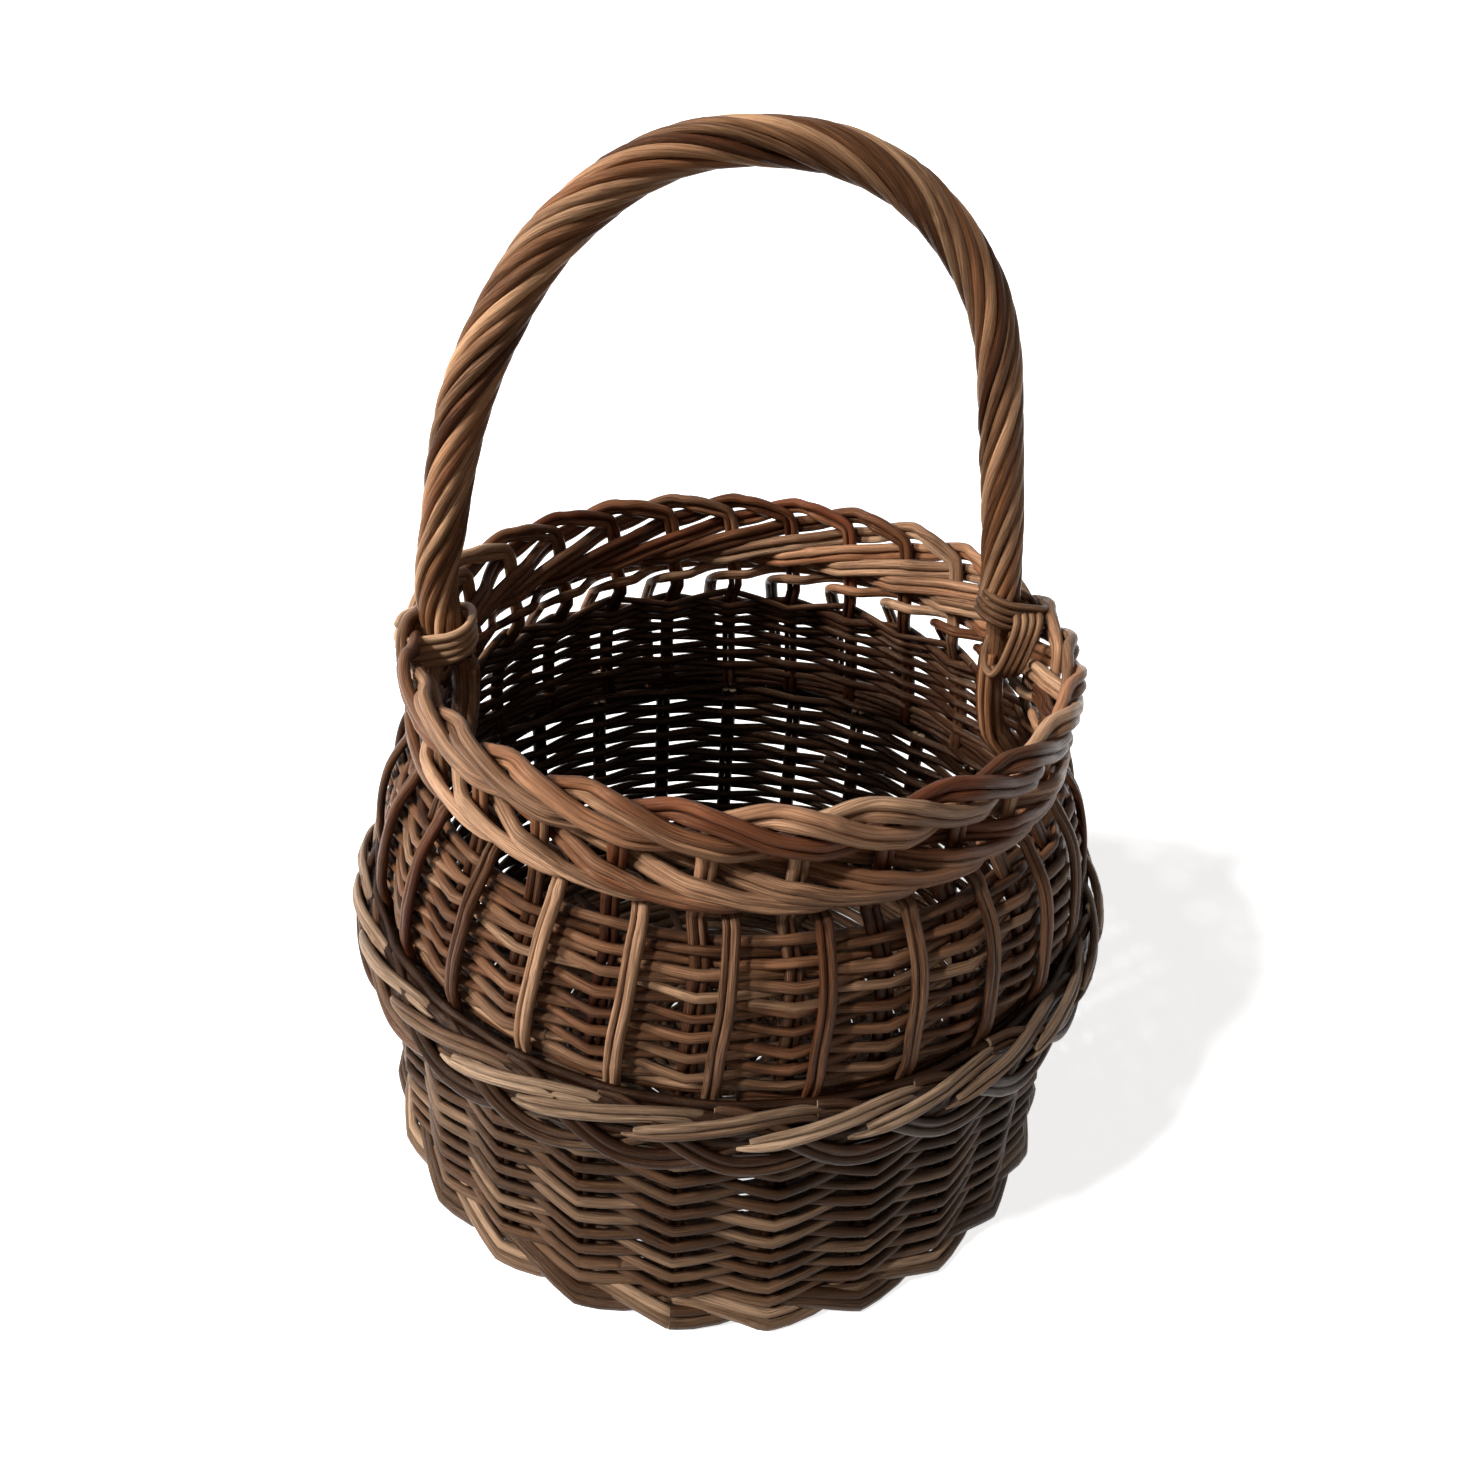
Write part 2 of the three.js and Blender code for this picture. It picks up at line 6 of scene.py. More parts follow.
import bpy
import numpy as np
from mathutils import Matrix, Vector


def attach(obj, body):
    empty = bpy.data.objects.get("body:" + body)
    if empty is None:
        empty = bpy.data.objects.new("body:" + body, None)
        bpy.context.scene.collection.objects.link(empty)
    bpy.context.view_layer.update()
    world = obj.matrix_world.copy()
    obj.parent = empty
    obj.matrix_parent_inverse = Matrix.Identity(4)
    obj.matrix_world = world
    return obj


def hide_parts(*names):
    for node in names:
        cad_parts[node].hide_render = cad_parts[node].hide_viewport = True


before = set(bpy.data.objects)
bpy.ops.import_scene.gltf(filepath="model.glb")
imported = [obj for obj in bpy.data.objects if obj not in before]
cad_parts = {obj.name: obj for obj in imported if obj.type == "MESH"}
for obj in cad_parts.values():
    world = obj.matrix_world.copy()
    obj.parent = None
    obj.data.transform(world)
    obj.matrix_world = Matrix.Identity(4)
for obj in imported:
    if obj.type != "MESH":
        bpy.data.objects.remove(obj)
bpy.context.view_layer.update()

MM = 0.001
TURN = 2 * math.pi
UP = np.array([0, 0, 1.0])

# Driving sizes, as in the frame
STAKES = 27
STEP = TURN / STAKES
FIRST_ANGLE = math.radians(-3.1)
WEAVE_TOP = 165.0
NECK_HEIGHT = 56.0
STAKE_RADIUS = 118.5
# Distance from stake to stake
STAKE_ARC = STAKE_RADIUS * STEP
# How far border and collar lie outside the stakes, or inside them
LAYER_STEP = 4.4
# How far the stakes lean over the neck's height, in steps from stake to stake
LEAN = 0.11
LOWER_STAKES = 25
LOWER_FIRST_ANGLE = math.radians(-5.0)
# The wall's outer face: height, radius
OUTLINE = [
    (0, 142), (60, 141.2), (115, 140.4), (127, 140), (140, 137.8), (150, 134.5), (157, 130.5),
    (165, 123),
]

# Up to the first height the upper weave lies flat behind the band, at that depth.
# From the second on, its rods swing in and out through the whole wall.
RECESS_LOW, RECESS_HIGH, RECESS_DEPTH = 122.5, 125.5, 5.9
# The upper weave's top, and what crosses just above it, stands higher than in the frame.
TOP_LIFT = 12.5
# Height in the frame, share of that lift
LIFT_SHARES = [
    (RECESS_HIGH, 0), (WEAVE_TOP, 1), (179.3, 0.46), (184.0, 0.2), (187.0, 0.1), (190.0, 0),
]


# ---------------------------------------------------------------- curves

# Spans that a resampled curve has at least
LEAST_SPANS = 3
# Knots that smooth random values have over those they need
SPARE_KNOTS = 4
TINY = 1e-9


def spline(points, per_span):
    """Dense Catmull-Rom curve through the rows of points, with any number of columns."""
    p = np.asarray(points, float)
    p = np.vstack([2 * p[0] - p[1], p, 2 * p[-1] - p[-2]])
    t = np.linspace(0, 1, per_span, endpoint=False)[:, None]
    rows = []
    for a, b, c, d in zip(p[:-3], p[1:-2], p[2:-1], p[3:]):
        square = (2 * a - 5 * b + 4 * c - d) * t**2
        cube = (3 * b - a - 3 * c + d) * t**3
        rows.append(0.5 * (2 * b + (c - a) * t + square + cube))
    return np.vstack(rows + [p[-2:-1]])


def lengths(path):
    return np.concatenate([[0], np.cumsum(np.linalg.norm(np.diff(path, axis=0), axis=1))])


def resample(table, step):
    """Rows spaced evenly by the length of the first three columns."""
    run = lengths(table[:, :3])
    count = max(int(round(run[-1] / step)), LEAST_SPANS) + 1
    at = np.linspace(0, run[-1], count)
    return np.stack([np.interp(at, run, table[:, k]) for k in range(table.shape[1])], 1)


def look_up(table, place, column=1):
    """Value of a table's column at a place in its first column."""
    rows = np.array(table, float)
    return np.interp(place, rows[:, 0], rows[:, column])


def around(angle, radius, height):
    angle, radius, height = np.broadcast_arrays(angle, radius, height)
    return np.stack([radius * np.sin(angle), -radius * np.cos(angle), height + 0.0], -1)


def outward(angle):
    return around(angle, 1.0, 0.0)


def sideways(angle):
    return around(angle + math.pi / 2, 1.0, 0.0)


def spin(points, angle):
    c, s = math.cos(angle), math.sin(angle)
    return points @ np.array([[c, s, 0], [-s, c, 0], [0, 0, 1]])


def unit(v):
    return v / np.maximum(np.linalg.norm(v, axis=-1, keepdims=True), TINY)


def repeat(vector, count):
    return np.tile(vector, (count, 1))


def share_of(value):
    return float(np.clip(value, 0, 1))


def vary(count, amount, every, rng):
    """Smooth random values of about this amount, with a knot every so many."""
    knots = rng.normal(0, 1, int(count / every) + SPARE_KNOTS)
    place = np.arange(count) / every + rng.random()
    return amount * np.interp(place, np.arange(len(knots)), knots)


def zigzag(knots, round_share):
    """Runs straight between 1 at even knots and -1 at odd ones, with a share of a cosine in it."""
    straight = 2 * np.abs(knots % 2 - 1) - 1
    return (1 - round_share) * straight + round_share * np.cos(np.pi * knots)


# ---------------------------------------------------------------- the wall's profile

profile = spline(OUTLINE, per_span=10)
profile_run = lengths(profile)
slope = unit(np.gradient(profile, axis=0))


def wall(run, depth, angle):
    """Point and normal of the wall, at a length along its outline, a depth inside and an angle."""
    height = np.interp(run, profile_run, profile[:, 0])
    radius = np.interp(run, profile_run, profile[:, 1])
    rise = np.interp(run, profile_run, slope[:, 0])
    shrink = np.interp(run, profile_run, slope[:, 1])
    spot = around(angle, radius - depth * rise, height + depth * shrink)
    rise, shrink = np.asarray(rise)[..., None], np.asarray(shrink)[..., None]
    return spot, unit(outward(angle) * rise + UP * -shrink)


def run_at(height):
    return float(np.interp(height, profile[:, 0], profile_run))


def lean(height):
    return LEAN * (height - WEAVE_TOP) / NECK_HEIGHT


def raised(points):
    """Points of the shoulder and neck, lifted with the weave's top."""
    return points + look_up(LIFT_SHARES, points[:, 2])[:, None] * np.array([0, 0, TOP_LIFT])


# ---------------------------------------------------------------- rods

# Girth of a rod along its length: share by which it varies, rings from knot to knot
GIRTH_VARIES = (0.035, 5)
# Knots: mean distance, share by which they swell the rod, length of the swelling to each side
KNOT_DISTANCE, KNOT_SWELL, KNOT_REACH = 110, 0.13, 2.2
# The bevel at a cut end: girth of the face and how far it stands out, as shares of the radius
FACE_GIRTH_SHARE, FACE_REACH_SHARE = 0.86, 0.22
# Scale of the grain along and across the rod
GRAIN_ALONG, GRAIN_ACROSS = 0.022, 0.85
# Each rod takes its grain from another place: the range, and factors for the other two directions
GRAIN_RANGE, GRAIN_SECOND, GRAIN_THIRD = 60, 1.7, 0.6
# The painted shade on a rod's inner face begins a little outside of the rod's middle
INNER_SHADE_START = 0.25


class Rods:
    """Rods of one piece, gathered into one mesh with grain and tone for each point."""

    def __init__(self, name, seed):
        self.name = name
        self.rng = np.random.default_rng(seed)
        self.points, self.faces, self.grain, self.tone = [], [], [], []
        self.count = 0

    def add(self, path, radius, facing, sides=8, hue=None, light=None, cut=(1.0, 1.0), inner=0.0):
        """One rod along path, with its outer face towards facing.

        Hue and light are its colour, and light may differ along it and carry painted shade. Cut
        shows pale pith at its two ends, and inner paints shade on its inner face.
        """
        rng = self.rng
        count = len(path)
        radius = np.broadcast_to(np.asarray(radius, float), (count,)).copy()
        run = lengths(path)
        radius = radius * (1 + vary(count, *GIRTH_VARIES, rng))
        for _ in range(rng.poisson(run[-1] / KNOT_DISTANCE)):
            knot = rng.uniform(0, run[-1])
            radius *= 1 + KNOT_SWELL * np.exp(-(((run - knot) / KNOT_REACH) ** 2))
        along = unit(np.gradient(path, axis=0))
        side = unit(np.cross(along, facing))
        out = np.cross(side, along)
        turn = np.arange(sides) * TURN / sides
        sideward, forward = np.cos(turn)[None, :, None], np.sin(turn)[None, :, None]
        ring = side[:, None] * sideward + out[:, None] * forward
        body = path[:, None] + ring * radius[:, None, None]
        first, last = (
            path[end]
            + ring[end] * radius[end] * FACE_GIRTH_SHARE
            + sign * along[end] * radius[end] * FACE_REACH_SHARE
            for end, sign in ((0, -1), (-1, 1))
        )
        body = np.concatenate([first[None], body, last[None]])
        run = np.concatenate([run[:1], run, run[-1:]])
        reach = np.concatenate([radius[:1], radius, radius[-1:]])
        rings = count + 2
        pith = np.zeros(rings)
        pith[0], pith[-1] = cut
        hue = rng.random() if hue is None else hue
        light = rng.random() if light is None else light
        glow = np.broadcast_to(np.asarray(light, float), (count,))
        glow = np.concatenate([glow[:1], glow, glow[-1:]])
        # painted shade on the side of the rod that faces into the wall
        shade = inner * np.clip(INNER_SHADE_START - np.sin(turn), 0, 1)
        place = rng.uniform(0, GRAIN_RANGE)
        grain = np.stack([
            np.broadcast_to(run[:, None] * GRAIN_ALONG + place, (rings, sides)),
            np.cos(turn)[None] * reach[:, None] * GRAIN_ACROSS + place * GRAIN_SECOND,
            np.sin(turn)[None] * reach[:, None] * GRAIN_ACROSS + place * GRAIN_THIRD,
        ], -1)
        tone = np.stack([
            np.full((rings, sides), hue),
            glow[:, None] - shade[None],
            np.broadcast_to(pith[:, None], (rings, sides)),
        ], -1)
        caps = np.stack([body[0].mean(0), body[-1].mean(0)])
        self.points += [body.reshape(-1, 3), caps]
        self.grain += [grain.reshape(-1, 3), grain[[0, -1], 0]]
        ends = np.array([[hue, glow[0], cut[0]], [hue, glow[-1], cut[1]]])
        self.tone += [tone.reshape(-1, 3), ends]
        self.add_faces(rings, sides)

    def add_faces(self, rings, sides):
        """Quads round the rod just added, and a fan of triangles over each end."""
        start = np.arange(rings - 1)[:, None] * sides
        here = np.arange(sides)[None]
        after = (here + 1) % sides
        corners = [start + here, start + after, start + sides + after, start + sides + here]
        quads = np.stack(corners, -1).reshape(-1, 4)
        self.faces += (quads + self.count).tolist()
        last_ring = self.count + (rings - 1) * sides
        first_cap = self.count + rings * sides
        for a in range(sides):
            b = (a + 1) % sides
            self.faces.append([first_cap, self.count + b, self.count + a])
            self.faces.append([first_cap + 1, last_ring + a, last_ring + b])
        self.count += rings * sides + 2

    def build(self, material, nodes):
        mesh = bpy.data.meshes.new(self.name)
        mesh.from_pydata((np.concatenate(self.points) * MM).tolist(), [], self.faces)
        for label, rows in (("grain", self.grain), ("tone", self.tone)):
            layer = mesh.attributes.new(label, "FLOAT_VECTOR", "POINT")
            layer.data.foreach_set("vector", np.concatenate(rows).astype(np.float32).ravel())
        mesh.polygons.foreach_set("use_smooth", np.ones(len(mesh.polygons), bool))
        mesh.materials.append(material)
        mesh.update()
        piece = bpy.data.objects.new(self.name, mesh)
        bpy.context.collection.objects.link(piece)
        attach(piece, "root")
        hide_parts(*nodes)


# ---------------------------------------------------------------- camera, floor and light

# The camera that the photograph was taken with, as fitted to it: its distance from the basket's
# axis, its height, its angles in radians, and its focal length over the width of the picture
CAMERA_DISTANCE = 404.346
CAMERA_HEIGHT = 426.76
CAMERA_PITCH = 0.56176
CAMERA_YAW = -0.00818
CAMERA_ROLL = 0.05307
FOCAL_SHARE = 1220 / 1457
SENSOR = 36.0
NEAREST_SEEN = 10

WHITE = (1, 1, 1, 1)
# What the camera sees of the floor: paper, with enough light of its own to be white outside of
# the shadow
PAPER_COLOUR = (0.9, 0.9, 0.9, 1)
PAPER_GLOW = 0.8
# What the floor throws back at the basket
BOUNCE_COLOUR = (0.3, 0.29, 0.28, 1)
FLOOR_REACH = 6000
ROOM_COLOUR = (1.0, 0.86, 0.76, 1)
ROOM_STRENGTH = 0.04
# Suns: name, direction they come from, strength, angle across in degrees, colour
SUNS = [
    ("key", (-0.95, -0.2, 0.5), 4.6, 12.0, (1.0, 0.97, 0.93)),
    ("spark", (-0.7, -0.5, 0.9), 2.2, 4.0, (1.0, 0.98, 0.96)),
    ("fill", (0.2, -1.0, 0.6), 0.2, 60.0, (1.0, 0.82, 0.68)),
]


def add_camera():
    level = math.cos(CAMERA_PITCH)
    sight = np.array([
        math.sin(CAMERA_YAW) * level, math.cos(CAMERA_YAW) * level, -math.sin(CAMERA_PITCH),
    ])
    right = np.array([math.cos(CAMERA_YAW), -math.sin(CAMERA_YAW), 0.0])
    up = np.cross(right, sight)
    right, up = (
        math.cos(CAMERA_ROLL) * right + math.sin(CAMERA_ROLL) * up,
        -math.sin(CAMERA_ROLL) * right + math.cos(CAMERA_ROLL) * up,
    )
    data = bpy.data.cameras.new("camera")
    data.sensor_width = SENSOR
    data.lens = SENSOR * FOCAL_SHARE
    data.clip_start = NEAREST_SEEN * MM
    camera = bpy.data.objects.new("camera", data)
    bpy.context.collection.objects.link(camera)
    place = Matrix.Identity(4)
    for row in range(3):
        place[row][0], place[row][1], place[row][2] = right[row], up[row], -sight[row]
    place.translation = Vector((0, -CAMERA_DISTANCE * MM, CAMERA_HEIGHT * MM))
    camera.matrix_world = place
    bpy.context.scene.camera = camera


def empty_tree(owner):
    owner.use_nodes = True
    tree = owner.node_tree
    tree.nodes.clear()
    return tree


def background_rays(tree):
    """1 for rays from the camera, a reflection or through glass, and 0 for rays carrying light."""
    rays = tree.nodes.new("ShaderNodeLightPath")
    either = rays.outputs["Is Camera Ray"]
    for kind in ("Is Glossy Ray", "Is Transmission Ray"):
        node = tree.nodes.new("ShaderNodeMath")
        node.operation = "MAXIMUM"
        tree.links.new(either, node.inputs[0])
        tree.links.new(rays.outputs[kind], node.inputs[1])
        either = node.outputs[0]
    return either


def show(tree, output, lighting, background):
    """The output shows one shader to light and the other as background."""
    out = tree.nodes.new(output)
    pick = tree.nodes.new("ShaderNodeMixShader")
    tree.links.new(background_rays(tree), pick.inputs[0])
    tree.links.new(lighting.outputs[0], pick.inputs[1])
    tree.links.new(background.outputs[0], pick.inputs[2])
    tree.links.new(pick.outputs[0], out.inputs["Surface"])


def add_floor():
    material = bpy.data.materials.new("floor")
    tree = empty_tree(material)
    paper = tree.nodes.new("ShaderNodeBsdfDiffuse")
    paper.inputs["Color"].default_value = PAPER_COLOUR
    glow = tree.nodes.new("ShaderNodeEmission")
    glow.inputs["Color"].default_value = WHITE
    glow.inputs["Strength"].default_value = PAPER_GLOW
    both = tree.nodes.new("ShaderNodeAddShader")
    tree.links.new(paper.outputs[0], both.inputs[0])
    tree.links.new(glow.outputs[0], both.inputs[1])
    bounce = tree.nodes.new("ShaderNodeBsdfDiffuse")
    bounce.inputs["Color"].default_value = BOUNCE_COLOUR
    show(tree, "ShaderNodeOutputMaterial", bounce, both)
    mesh = bpy.data.meshes.new("floor")
    reach = FLOOR_REACH * MM
    corners = [(-reach, -reach, 0), (reach, -reach, 0), (reach, reach, 0), (-reach, reach, 0)]
    mesh.from_pydata(corners, [], [(0, 1, 2, 3)])
    mesh.materials.append(material)
    floor = bpy.data.objects.new("floor", mesh)
    bpy.context.collection.objects.link(floor)


def add_world():
    world = bpy.data.worlds.new("world")
    bpy.context.scene.world = world
    tree = empty_tree(world)
    white = tree.nodes.new("ShaderNodeBackground")
    white.inputs["Color"].default_value = WHITE
    white.inputs["Strength"].default_value = 1.0
    room = tree.nodes.new("ShaderNodeBackground")
    room.inputs["Color"].default_value = ROOM_COLOUR
    room.inputs["Strength"].default_value = ROOM_STRENGTH
    show(tree, "ShaderNodeOutputWorld", room, white)


def add_suns():
    for name, source, strength, spread, colour in SUNS:
        data = bpy.data.lights.new(name, "SUN")
        data.energy = strength
        data.angle = math.radians(spread)
        data.color = colour
        lamp = bpy.data.objects.new(name, data)
        lamp.rotation_euler = Vector(source).to_track_quat("Z", "Y").to_euler()
        bpy.context.collection.objects.link(lamp)


add_camera()
bpy.context.scene.view_settings.view_transform = "Standard"
add_floor()
add_world()
add_suns()


# ---------------------------------------------------------------- willow

# Noises on the grain: scale, detail, roughness
FINE_NOISE = (2.6, 4, 0.62)
BROAD_NOISE = (0.55, 2, 0.5)
FIBRE_NOISE = (6.5, 3, 0.7)
SPECK_NOISE = (3.4, 2, 0.5)
# What a rod's own light less its painted shade, its broad patches and its fine streaks add to its
# brightness
LIGHT_PART, BROAD_PART, FINE_PART = 0.5, 0.5, 1.45
# Stops of a ramp: place, colour or factor on it. The third lies between the first two.
BRIGHTNESS_STOPS = [
    (0.1, (0.17, 0.112, 0.092)), (0.86, (2.15, 2.14, 2.14)), (0.5, (0.95, 0.9, 0.86)),
]
SPECK_STOPS = [(0.66, (1, 1, 1)), (0.74, (0.34, 0.28, 0.24))]
ROUGHNESS_STOPS = [(0.3, (0.39, 0.39, 0.39)), (0.7, (0.19, 0.19, 0.19))]
PITH_COLOUR = (0.42, 0.32, 0.21, 1)
SHEEN_LEVEL = 0.13
SHEEN_TINT = (1.0, 0.68, 0.48, 1)
FIBRE_HEIGHT_SHARE = 0.4
BUMP_STRENGTH = 0.6
BUMP_DISTANCE = 0.0006
# A new ramp has this many stops already.
FIRST_STOPS = 2
# Sockets of a Mix node that mixes colours
MIX_FACTOR, MIX_A, MIX_B, MIX_RESULT = 0, 6, 7, 2


def willow(name, dark, mid, pale):
    """Stained willow bark. A rod's hue runs from dark over mid to pale."""
    material = bpy.data.materials.new(name)
    tree = empty_tree(material)
    new, link = tree.nodes.new, tree.links.new
    out = new("ShaderNodeOutputMaterial")
    skin = new("ShaderNodeBsdfPrincipled")
    link(skin.outputs[0], out.inputs["Surface"])
    grain = new("ShaderNodeAttribute")
    grain.attribute_name = "grain"
    tone = new("ShaderNodeAttribute")
    tone.attribute_name = "tone"
    parts = new("ShaderNodeSeparateXYZ")
    link(tone.outputs["Vector"], parts.inputs[0])

    def noise(scale, detail, roughness):
        node = new("ShaderNodeTexNoise")
        node.inputs["Scale"].default_value = scale
        node.inputs["Detail"].default_value = detail
        node.inputs["Roughness"].default_value = roughness
        link(grain.outputs["Vector"], node.inputs["Vector"])
        return node.outputs["Fac"]

    def ramp(source, stops):
        node = new("ShaderNodeValToRGB")
        line = node.color_ramp
        for index, (place, colour) in enumerate(stops):
            stop = line.elements[index] if index < FIRST_STOPS else line.elements.new(place)
            stop.position = place
            stop.color = (*colour, 1)
        link(source, node.inputs[0])
        return node.outputs[0]

    def combine(operation, first, second):
        node = new("ShaderNodeMath")
        node.operation = operation
        for socket, value in zip(node.inputs, (first, second)):
            if isinstance(value, (int, float)):
                socket.default_value = value
            else:
                link(value, socket)
        return node.outputs[0]

    def times(first, second):
        node = new("ShaderNodeMix")
        node.data_type = "RGBA"
        node.blend_type = "MULTIPLY"
        node.inputs[MIX_FACTOR].default_value = 1.0
        link(first, node.inputs[MIX_A])
        link(second, node.inputs[MIX_B])
        return node.outputs[MIX_RESULT]

    fine = noise(*FINE_NOISE)
    broad = noise(*BROAD_NOISE)
    fibres = noise(*FIBRE_NOISE)
    specks = noise(*SPECK_NOISE)
    base = ramp(parts.outputs["X"], [(0.0, dark), (1.0, pale), (0.5, mid)])
    # the tone's Y is the rod's light less its painted shade
    own = combine("MULTIPLY", parts.outputs["Y"], LIGHT_PART)
    brightness = combine("ADD", own, combine("MULTIPLY", broad, BROAD_PART))
    streaks = combine("MULTIPLY", combine("SUBTRACT", fine, 0.5), FINE_PART)
    brightness = combine("ADD", brightness, streaks)
    bark = times(times(base, ramp(brightness, BRIGHTNESS_STOPS)), ramp(specks, SPECK_STOPS))
    pith = new("ShaderNodeMix")
    pith.data_type = "RGBA"
    link(parts.outputs["Z"], pith.inputs[MIX_FACTOR])
    link(bark, pith.inputs[MIX_A])
    pith.inputs[MIX_B].default_value = PITH_COLOUR
    link(pith.outputs[MIX_RESULT], skin.inputs["Base Color"])
    link(ramp(fine, ROUGHNESS_STOPS), skin.inputs["Roughness"])
    skin.inputs["Specular IOR Level"].default_value = SHEEN_LEVEL
    skin.inputs["Specular Tint"].default_value = SHEEN_TINT
    bump = new("ShaderNodeBump")
    bump.inputs["Strength"].default_value = BUMP_STRENGTH
    bump.inputs["Distance"].default_value = BUMP_DISTANCE
    relief = combine("ADD", combine("MULTIPLY", fibres, FIBRE_HEIGHT_SHARE), fine)
    link(relief, bump.inputs["Height"])
    link(bump.outputs[0], skin.inputs["Normal"])
    return material


lower_willow = willow(
    "willow_lower", (0.02, 0.0085, 0.004), (0.049, 0.0245, 0.0125), (0.17, 0.112, 0.071)
)
body_willow = willow(
    "willow_body", (0.042, 0.0155, 0.0065), (0.095, 0.0425, 0.0208), (0.23, 0.147, 0.09)
)
neck_willow = willow(
    "willow_neck", (0.07, 0.022, 0.01), (0.142, 0.062, 0.03), (0.3, 0.19, 0.118)
)
band_willow = willow(
    "willow_band", (0.034, 0.015, 0.008), (0.072, 0.04, 0.024), (0.25, 0.178, 0.12)
)
base_willow = willow(
    "willow_base", (0.045, 0.024, 0.014), (0.09, 0.052, 0.031), (0.154, 0.099, 0.06)
)
bow_willow = willow(
    "willow_bow", (0.078, 0.028, 0.012), (0.17, 0.08, 0.038), (0.34, 0.205, 0.118)
)
tie_willow = willow(
    "willow_tie", (0.085, 0.038, 0.018), (0.17, 0.09, 0.048), (0.33, 0.21, 0.128)
)


# ---------------------------------------------------------------- woven wall

# Where a rod has its rings between one stake and the next
FRACTIONS = np.array([0, 0.08, 0.24, 0.5, 0.76, 0.92])
# A rod passes one stake more than twice a number from the first to below the second. The last
# one passes at least so many.
HALF_PASSES_LOW, HALF_PASSES_HIGH = 9, 17
LEAST_PASSES = 3
# How far past a stake a rod starts and ends, as shares of the way to the next
ROD_START, ROD_END = 0.55, 0.45
# Share of a cosine in its way in and out
ROD_ROUND_SHARE = 0.14
# Rows over which the dip dies away towards the wall's edges
FADE_ROWS = 2
# Shares by which a rod is thicker at its butt and thinner at its tip
BUTT_SHARE, TIP_SHARE = 0.1, -0.12
# How a rod varies: by how much, rings from knot to knot
ROD_GIRTH_VARIES = (0.05, 4)
DIP_VARIES = (0.25, 6)
ROW_VARIES = (0.2, 5)
SWING_VARIES = (0.2, 7)
# A rod's middle lies at least this share of its radius inside the wall's outer face
LEAST_DEPTH_SHARE = 0.95
# Hue and light of the rods: the least, and the range above it
WEAVE_TONE_LOW, WEAVE_TONE_RANGE = 0.22, 0.68
WEAVE_CUT = (0.5, 0.5)
# How much shade is painted on the inner faces of the weave's rods and the lower stakes
INNER_PAINTED_SHADE = 1.5

# The stakes of the lower wall, two rods each: side and radius of each rod
LOWER_PAIR = ((-1, 1.95), (1, 1.75))
LOWER_PAIR_SPREAD, LOWER_PAIR_RADIUS = 1.85, 136
LOWER_PAIR_LOW, LOWER_PAIR_HIGH, LOWER_PAIR_STEP = 9.0, 113.5, 6.0
LOWER_PAIR_DEPTH, LOWER_PAIR_VARIES = 5.6, (0.15, 4)
LOWER_PAIR_HUE_SHARE, LOWER_PAIR_LIGHT_SHARE = 0.4, 0.2


class Weave:
    """One woven wall.

    It has so many stakes from its first angle on, and with lean_share 1 they lean as in the neck.
    Its rows begin at a height, with some more below it, and end at another. Pitch, thick and depth
    are those of the rows, the rods and the wall. Dip is how far a rod hangs low outside a stake,
    and lift the share of it by which the rod rises inside the next. A recessed weave lies flat
    behind the band at its start, and its top is raised.
    """

    def __init__(
        self, stakes, first_angle, lean_share, first_row, rows_below, last_row,
        pitch, thick, depth, dip, lift, recessed,
    ):
        self.stakes, self.first_angle, self.lean_share = stakes, first_angle, lean_share
        self.first, self.rows_below = run_at(first_row), rows_below
        self.rows = (run_at(last_row) - self.first) / pitch
        self.pitch, self.thick, self.depth = pitch, thick, depth
        self.dip, self.lift, self.recessed = dip, lift, recessed

    def angle(self, knots, height):
        return self.first_angle + knots * TURN / self.stakes + self.lean_share * lean(height) * STEP


LOWER = Weave(
    stakes=LOWER_STAKES, first_angle=LOWER_FIRST_ANGLE, lean_share=0,
    first_row=10.6, rows_below=0, last_row=116.0,
    pitch=4.3, thick=3.95, depth=11.2, dip=2.1, lift=0.1, recessed=False,
)
UPPER = Weave(
    stakes=STAKES, first_angle=FIRST_ANGLE, lean_share=1,
    first_row=128.4, rows_below=4, last_row=163.8,
    pitch=3.02, thick=3.62, depth=9.6, dip=1.2, lift=0.4, recessed=True,
)


